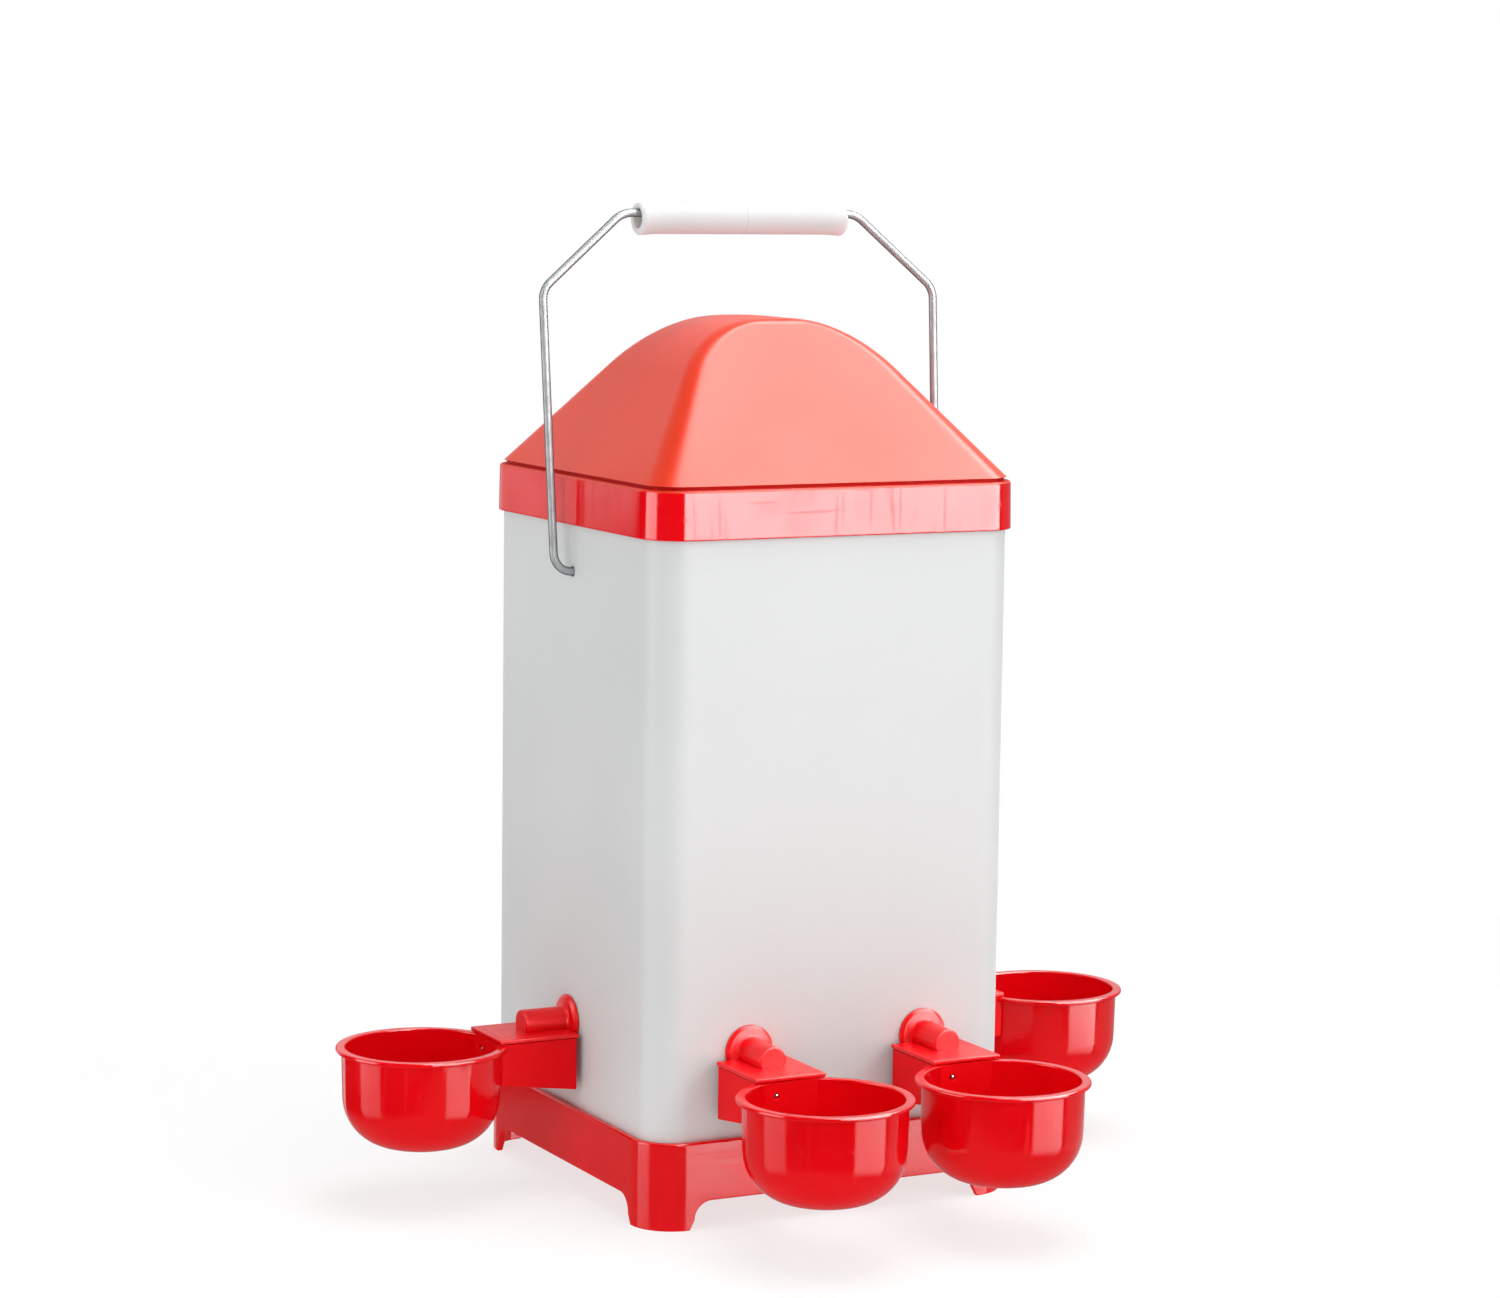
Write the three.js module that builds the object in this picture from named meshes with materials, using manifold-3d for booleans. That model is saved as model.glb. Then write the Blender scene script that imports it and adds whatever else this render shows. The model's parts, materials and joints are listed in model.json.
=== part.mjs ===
// Poultry waterer: a square water tank with a lift-off lid, a wire bail with a grip, and
// four drinking cups, each kept full by a float valve in the box behind it.
// Millimetres, +Z up. The front face, with two cups, looks along -Y.
// Everything is drawn about the tank's own axis; the last lines move the whole object so
// that its origin is on the floor under the middle of its bounding box.

import * as THREE from 'three';
import { mergeVertices } from 'three/addons/utils/BufferGeometryUtils.js';
import { ParametricGeometry } from 'three/addons/geometries/ParametricGeometry.js';
import Module from 'manifold-3d';

const wasm = await Module();
wasm.setup();

// ---------------------------------------------------------------- driving dimensions

const GAP = 0.3; // clearance between neighbours that rest on each other
const THROUGH = 1; // how far a cutter runs past the face it cuts

const TUBE = { half: 95, corner: 17.5, wall: 2.5, bottom: 22, top: 343 };
const FLAT = TUBE.half - TUBE.corner; // half the flat part of each side of the tank

const BASE = {
  half: 98.45,
  top: 41.6,
  fit: 0.35, // sideways play between the tube and the rim around it
  floorTop: 20,
  floorThickness: 3,
  bandBottom: 13.4, // underside of the band between two feet
  footInset: 78, // a foot reaches from the corner in to here
  legSlope: 2.4,
  archFillet: 9,
  lipTop: 34, // the lip that stands inside the tube
  lipThickness: 2,
  ribPitch: 46,
  ribThickness: 2,
};

const LID = {
  skirtBottom: 322.6,
  skirtTop: 345.7,
  skirtHalfBottom: 97.6,
  skirtHalfTop: 97.2,
  playBottom: 0.6, // between the tube and the inside of the skirt
  playTop: 0.4,
  step: 0.01, // height of the step from the skirt in to the roof
  roofHalf: 96,
  roofWall: 2.5,
  ledge: 2.4, // width of the shelf that sits on the tube's rim
  top: 420.6,
  cornerLow: 16,
  cornerHigh: 7,
  leastFlat: 0.5, // half the shortest straight side between two corners of the roof
  rows: 9,
  cornerSteps: 4,
};
// The roof is the overlap of two vaults: one falls to the left and right in a wide arc,
// the other falls to the front and back in straight slopes with a tight crown.
const VAULT_X = { slope: THREE.MathUtils.degToRad(52.3), crown: 62 };
const VAULT_Y = { slope: THREE.MathUtils.degToRad(47.2), crown: 9 };

const BAIL = {
  wireRadius: 2,
  holeRadius: 2.6,
  pivotZ: 300,
  endX: 87, // the bent ends stop here, inside the tank
  armX: 104.5,
  shoulderX: 106.5,
  shoulderZ: 134, // above the pivot, as the next one is
  topZ: 170.5,
  neckX: 63.5,
  footBend: 8, // how far each bend reaches along the wire from its corner
  shoulderBend: 9,
  lean: THREE.MathUtils.degToRad(5),
  steps: 84,
};
const GRIP = {
  z: 168, // above the pivot: the grip hangs on the wire by the top of its bore
  halfLength: 55.7,
  radius: 7.6,
  endRadius: 8.3,
  flare: 9,
  edge: 0.8,
  bore: 4.8,
};

const INLET = {
  z: 82.4, // height of the water passage
  holeRadius: 6.3,
  stemRadius: 6,
  stemLength: 13, // from the tank's outer face, inwards
  boreRadius: 3,
  flangeRadius: 12.3,
  flangeEdge: 1.5, // out to here the flange is straight-sided, then it domes
  flangeShoulder: 2.5,
  flangeHeight: 3.2,
  pipeRadius: 6.8,
  pipeEnd: 25.5, // distances from the wall, outwards
  nozzleRadius: 3,
  nozzleTipRadius: 2.2,
  nozzleBore: 1.1,
  nozzleTip: 71.4,
  nozzleOut: 18,
};
const COVER = { half: 18, back: 2.8, out: 43.8, top: 79.3, thickness: 2 };
const CHAMBER = {
  half: 17.6,
  back: 3.5,
  front: 43.2,
  bottom: 51.8,
  rise: 5.4, // how much higher the underside is at the bowl than at the wall
  wall: 1.8,
};
const WINDOW = { left: -11, right: 2, bottom: 59.2, top: 61.6 };
const CUP = {
  out: 76.8, // bowl axis, from the wall
  radius: 38,
  wall: 1.8,
  lipRadius: 40.75,
  lipThickness: 2.1,
  top: 76.7,
  bottom: 28.8,
  fillet: 24,
};
const FLOAT = {
  left: -4,
  right: 14.4,
  front: 38.6,
  back: 8.4,
  bottom: 59.6,
  top: 64.8,
  corner: 3,
  armHalfWidth: 3.4,
  armLow: 67.2,
  armTop: 69.2,
  armRight: 11.4,
  postLeft: 4, // the post joins the arm to the float under it
  postRight: 8,
  hubRadius: 2.8,
  seatRadius: 2.4,
  seatDepth: 0.6,
};
const PIN = { x: -7, z: 70.5, radius: 1, near: 43, far: 3.9, play: 0.05, wallPlay: 0.1 };
const SEAL = { radius: 2.1, height: 1.8, bevel: 0.4 };
const GASKET = { inner: 6.4, outer: 11.5, thickness: 1.6 };
const NUT = { acrossFlats: 21, thickness: 6, bore: 6.3 };

const FRONT_SPACING = 46.5; // front cups, either side of the middle

// Where each drinker stands: its point on the wall, and its turn about Z from the front.
const STATIONS = [
  { name: 'front_left', x: -FRONT_SPACING, y: -TUBE.half, turn: 0 },
  { name: 'front_right', x: FRONT_SPACING, y: -TUBE.half, turn: 0 },
  { name: 'left', x: -TUBE.half, y: 0, turn: -Math.PI / 2 },
  { name: 'right', x: TUBE.half, y: 0, turn: Math.PI / 2 },
];

// ---------------------------------------------------------------- materials

const RED = 0xe0161e;
const paint = (color, roughness, metalness = 0) =>
  new THREE.MeshStandardMaterial({ color, roughness, metalness });
const redPlastic = () => paint(RED, 0.22);
const whitePlastic = () => paint(0xe8e8e6, 0.38);
const palePlastic = () => paint(0xf0efec, 0.45);
const greyPlastic = () => paint(0x55595c, 0.5);
const rubber = () => paint(0x26262a, 0.8);
const zincWire = () => paint(0xb9bcbe, 0.3, 1);
const steel = () => paint(0xc4c6c8, 0.25, 1);

// ---------------------------------------------------------------- geometry helpers

function toSolid(geometry) {
  const bare = geometry.clone();
  bare.deleteAttribute('normal');
  bare.deleteAttribute('uv');
  const merged = mergeVertices(bare, 1e-4);
  const vertProperties = new Float32Array(merged.attributes.position.array);
  const triVerts = new Uint32Array(merged.index.array);
  return new wasm.Manifold(new wasm.Mesh({ numProp: 3, vertProperties, triVerts }));
}

function toGeometry(solid) {
  const { vertProperties, triVerts } = solid.getMesh();
  const geometry = new THREE.BufferGeometry();
  geometry.setAttribute('position', new THREE.BufferAttribute(vertProperties, 3));
  geometry.setIndex(new THREE.BufferAttribute(triVerts, 1));
  geometry.computeVertexNormals();
  return geometry;
}

function piece(name, shape, material) {
  const geometry = shape.isBufferGeometry ? shape : toGeometry(shape);
  const mesh = new THREE.Mesh(geometry, material);
  mesh.name = name;
  return mesh;
}

function roundedRect(halfX, halfY, radius, path = new THREE.Shape()) {
  const cx = halfX - radius;
  const cy = halfY - radius;
  path.absarc(cx, cy, radius, 0, Math.PI / 2);
  path.absarc(-cx, cy, radius, Math.PI / 2, Math.PI);
  path.absarc(-cx, -cy, radius, Math.PI, 1.5 * Math.PI);
  path.absarc(cx, -cy, radius, 1.5 * Math.PI, 2 * Math.PI);
  path.closePath();
  return path;
}

function prism(shape, low, high, curveSegments = 5) {
  const depth = high - low;
  const geometry = new THREE.ExtrudeGeometry(shape, { depth, bevelEnabled: false, curveSegments });
  return geometry.translate(0, 0, low);
}

// A square bar whose corners share their centres with the tank's.
const squareBar = (half, low, high) =>
  toSolid(prism(roundedRect(half, half, half - FLAT), low, high));

function block(x0, x1, y0, y1, z0, z1) {
  const geometry = new THREE.BoxGeometry(x1 - x0, y1 - y0, z1 - z0);
  return toSolid(geometry.translate((x0 + x1) / 2, (y0 + y1) / 2, (z0 + z1) / 2));
}

// A body of revolution about Z. The profile is a list of [radius, z], outer side upwards.
function turned(profile, segments) {
  const points = profile.map(([r, z]) => new THREE.Vector2(r, z));
  return new THREE.LatheGeometry(points, segments).rotateX(Math.PI / 2);
}

// A round bar along Y, from near (towards -Y) to far.
function barY(radius, near, far, x, z, segments = 20) {
  const bar = new THREE.CylinderGeometry(radius, radius, far - near, segments);
  return bar.translate(x, (near + far) / 2, z);
}

// A ring along Y with a plain bore.
function ringY(outer, inner, near, far, z, segments = 18) {
  const profile = [[inner, near], [outer, near], [outer, far], [inner, far], [inner, near]];
  const points = profile.map(([r, y]) => new THREE.Vector2(r, y));
  return new THREE.LatheGeometry(points, segments).translate(0, 0, z);
}

// Points of an arc, as [first, second] pairs, both ends included.
function arc(c0, c1, radius, from, to, steps) {
  return Array.from({ length: steps + 1 }, (_, i) => {
    const angle = from + ((to - from) * i) / steps;
    return [c0 + radius * Math.cos(angle), c1 + radius * Math.sin(angle)];
  });
}

// ---------------------------------------------------------------- tank and base

function atStation(solid, { x, y, turn }) {
  return solid.rotate([0, 0, THREE.MathUtils.radToDeg(turn)]).translate([x, y, 0]);
}

function tubeOutline() {
  const outline = roundedRect(TUBE.half, TUBE.half, TUBE.corner);
  const inner = TUBE.half - TUBE.wall;
  outline.holes.push(roundedRect(inner, inner, TUBE.corner - TUBE.wall, new THREE.Path()));
  return outline;
}

function tankTube() {
  let solid = toSolid(prism(tubeOutline(), TUBE.bottom, TUBE.top));
  const stemHole = toSolid(
    barY(INLET.holeRadius, -THROUGH, TUBE.wall + THROUGH, 0, INLET.z),
  );
  for (const station of STATIONS) solid = solid.subtract(atStation(stemHole, station));
  const reach = TUBE.half + THROUGH;
  const bailHoles = barY(BAIL.holeRadius, -reach, reach, 0, BAIL.pivotZ, 16).rotateZ(Math.PI / 2);
  return piece('tank_tube', solid.subtract(toSolid(bailHoles)), whitePlastic());
}

// The opening between two feet, drawn in the X-Z plane.
function archShape() {
  const { footInset, legSlope, archFillet, bandBottom } = BASE;
  const legTop = bandBottom - archFillet;
  const inner = footInset - legSlope;
  const shape = new THREE.Shape();
  shape.moveTo(-footInset, -THROUGH);
  shape.lineTo(footInset, -THROUGH);
  shape.lineTo(inner, legTop);
  shape.absarc(inner - archFillet, legTop, archFillet, 0, Math.PI / 2);
  shape.absarc(archFillet - inner, legTop, archFillet, Math.PI / 2, Math.PI);
  shape.closePath();
  return shape;
}

function baseRibs(low, high, halfLength) {
  const half = BASE.ribThickness / 2;
  const ribs = [];
  for (const at of [-BASE.ribPitch, 0, BASE.ribPitch]) {
    ribs.push(block(at - half, at + half, -halfLength, halfLength, low, high));
    ribs.push(block(-halfLength, halfLength, at - half, at + half, low, high));
  }
  return ribs;
}

// The lip that stands inside the tube's lower end.
function baseLip() {
  const outer = TUBE.half - TUBE.wall - GAP;
  const low = BASE.floorTop - THROUGH;
  const lip = squareBar(outer, low, BASE.lipTop);
  return lip.subtract(squareBar(outer - BASE.lipThickness, low - THROUGH, BASE.lipTop + THROUGH));
}

function baseTray() {
  const wallInner = TUBE.half + BASE.fit;
  const floorBottom = BASE.floorTop - BASE.floorThickness;
  let solid = squareBar(BASE.half, 0, BASE.top);
  solid = solid.subtract(squareBar(wallInner, BASE.floorTop, BASE.top + THROUGH));
  solid = solid.subtract(squareBar(wallInner, -THROUGH, floorBottom));
  solid = solid.add(baseLip());
  for (const rib of baseRibs(BASE.bandBottom, floorBottom + THROUGH, wallInner + THROUGH)) {
    solid = solid.add(rib);
  }
  const reach = BASE.half + THROUGH;
  const arch = prism(archShape(), -reach, reach).rotateX(Math.PI / 2);
  solid = solid.subtract(toSolid(arch)).subtract(toSolid(arch.clone().rotateZ(Math.PI / 2)));
  return piece('base_tray', solid, redPlastic());
}

// A flat rubber ring under the tube's end, in the groove between the rim and the lip.
function baseSeal() {
  const ring = prism(tubeOutline(), BASE.floorTop + GAP, TUBE.bottom - GAP);
  return piece('base_seal', ring, rubber());
}

// ---------------------------------------------------------------- lid

// Half-width of a vault at a height: a straight slope, then an arc that ends level.
function vaultHalf(vault, base, baseZ, topZ, z) {
  const { slope, crown } = vault;
  const tangentZ = topZ - crown * (1 - Math.cos(slope));
  const atTangent = base - (tangentZ - baseZ) / Math.tan(slope);
  if (z <= tangentZ) return base - (z - baseZ) / Math.tan(slope);
  const rise = z - (topZ - crown);
  return atTangent - crown * Math.sin(slope) + Math.sqrt(Math.max(crown * crown - rise * rise, 0));
}

// Sections of the roof from its top down to its foot, closer together near the top.
function roofRows(base, baseZ, topZ) {
  return Array.from({ length: LID.rows + 1 }, (_, i) => {
    const share = i / LID.rows;
    const z = topZ - (topZ - baseZ) * share * share;
    const halfX = vaultHalf(VAULT_X, base, baseZ, topZ, z);
    const halfY = vaultHalf(VAULT_Y, base, baseZ, topZ, z);
    const wanted = THREE.MathUtils.lerp(LID.cornerHigh, LID.cornerLow, share * share);
    const corner = Math.min(wanted, halfX - LID.leastFlat, halfY - LID.leastFlat);
    return { halfX, halfY, corner, z };
  });
}

// The lid's sections: down the outside, in under the skirt, and up the inside.
function lidRows() {
  const skirt = (half, z) => ({ halfX: half, halfY: half, corner: half - FLAT, z });
  const point = (z) => ({ halfX: 0, halfY: 0, corner: 0, z });
  const innerTop = LID.top - LID.roofWall;
  const ledgeZ = TUBE.top + GAP;
  const innerHigh = TUBE.half + LID.playTop;
  return [
    point(LID.top),
    ...roofRows(LID.roofHalf, LID.skirtTop, LID.top),
    skirt(LID.skirtHalfTop, LID.skirtTop - LID.step),
    skirt(LID.skirtHalfBottom, LID.skirtBottom),
    skirt(TUBE.half + LID.playBottom, LID.skirtBottom),
    skirt(innerHigh, ledgeZ),
    ...roofRows(innerHigh - LID.ledge, ledgeZ, innerTop).reverse(),
    point(innerTop),
  ];
}

function lid() {
  // One closed surface: u goes around a section, and v from section to section.
  const rows = lidRows();
  const perCorner = LID.cornerSteps + 1;
  const around = 4 * perCorner;
  const place = (u, v, target) => {
    const step = Math.round((1 - u) * around) % around;
    const { halfX, halfY, corner, z } = rows[Math.round(v * (rows.length - 1))];
    const quarter = Math.floor(step / perCorner);
    const angle = (quarter + (step % perCorner) / LID.cornerSteps) * (Math.PI / 2);
    const signX = quarter === 0 || quarter === 3 ? 1 : -1;
    const signY = quarter < 2 ? 1 : -1;
    const x = signX * (halfX - corner) + corner * Math.cos(angle);
    const y = signY * (halfY - corner) + corner * Math.sin(angle);
    target.set(x, y, z);
  };
  const shell = new ParametricGeometry(place, around, rows.length - 1);
  return piece('lid', toSolid(shell), redPlastic());
}

// ---------------------------------------------------------------- bail

// The wire's middle line: straight runs with a quadratic curve across each corner.
function wirePath() {
  const at = (x, z) => new THREE.Vector3(x, 0, z);
  const points = [
    at(-BAIL.endX, 0),
    at(-BAIL.armX, 0),
    at(-BAIL.shoulderX, BAIL.shoulderZ),
    at(-BAIL.neckX, BAIL.topZ),
    at(BAIL.neckX, BAIL.topZ),
    at(BAIL.shoulderX, BAIL.shoulderZ),
    at(BAIL.armX, 0),
    at(BAIL.endX, 0),
  ];
  const reaches = [BAIL.footBend, BAIL.shoulderBend, BAIL.footBend];
  const bends = [...reaches, ...reaches.slice().reverse()];
  const path = new THREE.CurvePath();
  let start = points[0];
  bends.forEach((reach, i) => {
    const corner = points[i + 1];
    const into = corner.clone().add(start.clone().sub(corner).setLength(reach));
    const out = corner.clone().add(points[i + 2].clone().sub(corner).setLength(reach));
    path.add(new THREE.LineCurve3(start, into));
    path.add(new THREE.QuadraticBezierCurve3(into, corner, out));
    start = out;
  });
  path.add(new THREE.LineCurve3(start, points[points.length - 1]));
  return path;
}

function bailWire() {
  const section = new THREE.Shape();
  section.absarc(0, 0, BAIL.wireRadius, 0, 2 * Math.PI);
  const options = { steps: BAIL.steps, extrudePath: wirePath(), curveSegments: 4 };
  const geometry = new THREE.ExtrudeGeometry(section, options);
  return piece('bail_wire', toSolid(geometry), zincWire());
}

function bailGrip() {
  const { halfLength, radius, endRadius, flare, edge, bore } = GRIP;
  const profile = [
    [bore, -halfLength],
    [endRadius - edge, -halfLength],
    [endRadius, edge - halfLength],
    [radius, flare - halfLength],
    [radius, halfLength - flare],
    [endRadius, halfLength - edge],
    [endRadius - edge, halfLength],
    [bore, halfLength],
    [bore, -halfLength],
  ];
  const mesh = piece('bail_grip', turned(profile, 24).rotateY(Math.PI / 2), palePlastic());
  mesh.position.z = GRIP.z;
  return mesh;
}

function bail() {
  const group = new THREE.Group();
  group.position.z = BAIL.pivotZ;
  group.rotation.x = -BAIL.lean;
  group.add(bailWire(), bailGrip());
  return group;
}

// ---------------------------------------------------------------- drinker
// In a drinker's own frame the wall's outer face is y = 0, the tank is at +Y, and the
// drinker reaches out along -Y.

// The form of a bowl from its flat underside to its top, with an optional lip.
function bowlForm(radius, low, high, fillet, lip = [[radius, high]]) {
  const side = arc(radius - fillet, low + fillet, fillet, -Math.PI / 2, 0, 5);
  const profile = [[0, low], ...side, ...lip, [0, high]];
  return toSolid(turned(profile, 28).translate(0, -CUP.out, 0));
}

function bowlOuter() {
  const lipLow = CUP.top - CUP.lipThickness;
  const lip = [[CUP.radius, lipLow], [CUP.lipRadius, lipLow], [CUP.lipRadius, CUP.top]];
  return bowlForm(CUP.radius, CUP.bottom, CUP.top, CUP.fillet, lip);
}

// The bowl's hollow, which stops at the front wall of the float chamber.
function bowlHollow() {
  const { wall } = CUP;
  const high = CUP.top + THROUGH;
  const hollow = bowlForm(CUP.radius - wall, CUP.bottom + wall, high, CUP.fillet - wall);
  const { half, front } = CHAMBER;
  return hollow.subtract(block(-half, half, -front, 0, CUP.bottom, high + THROUGH));
}

// A block with the slope of the float chamber's underside, which is at low beside the wall.
function chamberBlock(half, front, back, low, high) {
  const { rise, front: reach, back: start } = CHAMBER;
  const below = new THREE.BoxGeometry(2 * (half + THROUGH), 4 * reach, 2 * rise)
    .translate(0, 0, -rise)
    .rotateX(-Math.atan(rise / (reach - start)))
    .translate(0, -start, low);
  return block(-half, half, -front, -back, low, high).subtract(toSolid(below));
}

// A cup: the bowl and the float chamber behind it, with the gate that lets water through.
function cup(name) {
  const { half, back, front, bottom, wall } = CHAMBER;
  const top = COVER.top - COVER.thickness - GAP;
  const innerHalf = half - wall;
  let solid = bowlOuter().add(chamberBlock(half, front, back, bottom, top));
  solid = solid.subtract(bowlHollow());
  const inside = chamberBlock(innerHalf, front - wall, back + wall, bottom + wall, COVER.top);
  solid = solid.subtract(inside);
  const { left, right, bottom: gateLow, top: gateHigh } = WINDOW;
  solid = solid.subtract(
    block(left, right, -front - THROUGH, wall + THROUGH - front, gateLow, gateHigh),
  );
  const pinHole = barY(PIN.radius + PIN.wallPlay, -front - THROUGH, -back + THROUGH, PIN.x, PIN.z, 12);
  const saddle = barY(INLET.pipeRadius + GAP, -back - 2 * wall, 0, 0, INLET.z);
  solid = solid.subtract(toSolid(pinHole)).subtract(toSolid(saddle));
  return piece(`cup_${name}`, solid, redPlastic());
}

// The round flange against the tank wall, as a solid of revolution that reaches out along -Y.
function inletFlange() {
  const { flangeRadius, flangeEdge, flangeShoulder, flangeHeight, pipeRadius } = INLET;
  const domed = [
    [0, GAP],
    [flangeRadius, GAP],
    [flangeRadius, flangeEdge],
    [(flangeRadius + pipeRadius) / 2 + 1, flangeShoulder],
    [pipeRadius, flangeHeight],
    [0, flangeHeight],
  ];
  const points = domed.map(([r, out]) => new THREE.Vector2(r, out));
  return toSolid(new THREE.LatheGeometry(points, 20).rotateX(Math.PI).translate(0, 0, INLET.z));
}

// A rod that hangs from the pipe's middle line, over the float.
function hangingRod(tipRadius, radius, length) {
  const rod = new THREE.CylinderGeometry(radius, tipRadius, length, 16).rotateX(Math.PI / 2);
  return toSolid(rod.translate(0, -INLET.nozzleOut, INLET.z - length / 2));
}

// Flange, pipe, cover plate and threaded stem in one moulding, with the water passage
// through it to the nozzle over the float.
function inlet(name) {
  const { z, flangeEdge, pipeRadius, pipeEnd, stemRadius, stemLength } = INLET;
  const { boreRadius, nozzleBore, nozzleOut } = INLET;
  const { half, back, out, top, thickness } = COVER;
  const nozzleLength = z - INLET.nozzleTip;
  const solid = inletFlange()
    .add(toSolid(barY(pipeRadius, -pipeEnd, -flangeEdge, 0, z, 20)))
    .add(toSolid(barY(stemRadius, -flangeEdge, stemLength, 0, z)))
    .add(block(-half, half, -out, -back, top - thickness, top))
    .add(hangingRod(INLET.nozzleTipRadius, INLET.nozzleRadius, nozzleLength))
    .subtract(toSolid(barY(boreRadius, -nozzleOut - boreRadius, stemLength + THROUGH, 0, z, 16)))
    .subtract(hangingRod(nozzleBore, nozzleBore, nozzleLength + THROUGH));
  return piece(`inlet_${name}`, solid, redPlastic());
}

function floatPlate() {
  const { left, right, front, back, bottom, top, corner } = FLOAT;
  const outline = roundedRect((right - left) / 2, (front - back) / 2, corner);
  const plate = prism(outline, bottom, top, 3);
  return toSolid(plate.translate((left + right) / 2, -(front + back) / 2, 0));
}

// The float, the arm over it that carries the valve disc, and the hub around the pin.
function floatBody(name) {
  const { front, back, top, armHalfWidth, armLow, armTop, armRight, seatRadius } = FLOAT;
  const near = -INLET.nozzleOut - armHalfWidth;
  const far = -INLET.nozzleOut + armHalfWidth;
  const seatLow = armTop - FLOAT.seatDepth;
  const seat = turned(
    [[0, seatLow], [seatRadius, seatLow], [seatRadius, COVER.top], [0, COVER.top]],
    16,
  );
  const hub = barY(FLOAT.hubRadius, THROUGH - front, -back - THROUGH, PIN.x, PIN.z, 16);
  const bore = barY(PIN.radius + PIN.play, -front, -back, PIN.x, PIN.z, 16);
  const solid = floatPlate()
    .add(block(PIN.x, armRight, near, far, armLow, armTop))
    .add(block(FLOAT.postLeft, FLOAT.postRight, near, far, top - THROUGH, armLow + THROUGH))
    .add(toSolid(hub))
    .subtract(toSolid(bore))
    .subtract(toSolid(seat.translate(0, -INLET.nozzleOut, 0)));
  return piece(`float_${name}`, solid, greyPlastic());
}

function floatPin(name) {
  const pin = barY(PIN.radius, -PIN.near, -PIN.far, PIN.x, PIN.z, 16);
  return piece(`float_pin_${name}`, pin, steel());
}

function valveSeal(name) {
  const low = FLOAT.armTop - FLOAT.seatDepth + GAP;
  const high = low + SEAL.height;
  const { radius, bevel } = SEAL;
  const profile = [[0, low], [radius, low], [radius, high - bevel], [radius - bevel, high], [0, high]];
  const disc = turned(profile, 16).translate(0, -INLET.nozzleOut, 0);
  return piece(`valve_seal_${name}`, disc, rubber());
}

function gasket(name) {
  const near = TUBE.wall + GAP;
  const { inner, outer, thickness } = GASKET;
  return piece(`gasket_${name}`, ringY(outer, inner, near, near + thickness, INLET.z), rubber());
}

function lockNut(name) {
  const near = TUBE.wall + GASKET.thickness + 2 * GAP;
  const cornerRadius = NUT.acrossFlats / 2 / Math.cos(Math.PI / 6);
  const hexagon = barY(cornerRadius, near, near + NUT.thickness, 0, INLET.z, 6);
  const bore = barY(NUT.bore, near - THROUGH, near + NUT.thickness + THROUGH, 0, INLET.z);
  return piece(`lock_nut_${name}`, toSolid(hexagon).subtract(toSolid(bore)), greyPlastic());
}

function drinker({ name, x, y, turn }) {
  const group = new THREE.Group();
  group.position.set(x, y, 0);
  group.rotation.z = turn;
  group.add(cup(name), inlet(name), floatBody(name), floatPin(name));
  group.add(valveSeal(name), gasket(name), lockNut(name));
  return group;
}

// ---------------------------------------------------------------- the whole waterer

const waterer = new THREE.Group();
waterer.add(tankTube(), baseTray(), baseSeal(), lid(), bail());
for (const station of STATIONS) waterer.add(drinker(station));

// Centre the front-to-back extent, from the front cups' lips to the base's back edge.
const frontReach = TUBE.half + CUP.out + CUP.lipRadius;
waterer.position.y = (frontReach - BASE.half) / 2;

export default waterer;
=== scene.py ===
"""The looks of the poultry waterer: a square tank with a vaulted red lid, a wire bail and four
drinking cups. Shapes are written in millimetres about the tank's own axis, and become metres
when a mesh is made. Every CAD node is stood for by a finer mesh of the same size."""

import json
import math

import bmesh
import bpy
import numpy as np
from mathutils import Euler, Matrix, Vector


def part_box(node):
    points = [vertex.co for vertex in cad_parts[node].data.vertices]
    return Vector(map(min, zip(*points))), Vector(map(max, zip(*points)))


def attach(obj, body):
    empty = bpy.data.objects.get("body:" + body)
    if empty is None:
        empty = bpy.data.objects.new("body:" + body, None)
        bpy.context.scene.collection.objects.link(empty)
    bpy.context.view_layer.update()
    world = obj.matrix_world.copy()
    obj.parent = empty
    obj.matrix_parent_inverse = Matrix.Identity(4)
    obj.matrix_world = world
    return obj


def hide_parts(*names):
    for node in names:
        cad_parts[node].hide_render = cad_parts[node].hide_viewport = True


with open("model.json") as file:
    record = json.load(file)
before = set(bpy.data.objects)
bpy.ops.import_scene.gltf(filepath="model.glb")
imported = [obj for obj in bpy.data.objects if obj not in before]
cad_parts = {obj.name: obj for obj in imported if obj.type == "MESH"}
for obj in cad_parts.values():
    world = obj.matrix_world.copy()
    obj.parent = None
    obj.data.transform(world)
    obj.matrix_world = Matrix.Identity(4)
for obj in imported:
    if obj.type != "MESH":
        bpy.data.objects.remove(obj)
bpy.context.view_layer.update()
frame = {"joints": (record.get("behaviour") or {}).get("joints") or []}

# ------------------------------------------------------------------ sizes, in millimetres

MM = 0.001


def box_mm(node):
    low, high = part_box(node)
    return np.array(low) / MM, np.array(high) / MM


def body_joint(child):
    return next(joint for joint in frame["joints"] if joint["child"] == child)


TUBE_LOW, TUBE_HIGH = box_mm("tank_tube")
TUBE_HALF = (TUBE_HIGH[0] - TUBE_LOW[0]) / 2
AXIS_Y = (TUBE_HIGH[1] + TUBE_LOW[1]) / 2
TUBE_CORNER = 17.5
TUBE_WALL = 2.5
INLET_HOLE = 6.3
BAIL_HOLE = 2.6
STRAIGHT = TUBE_HALF - TUBE_CORNER  # half the flat part of a side

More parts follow.
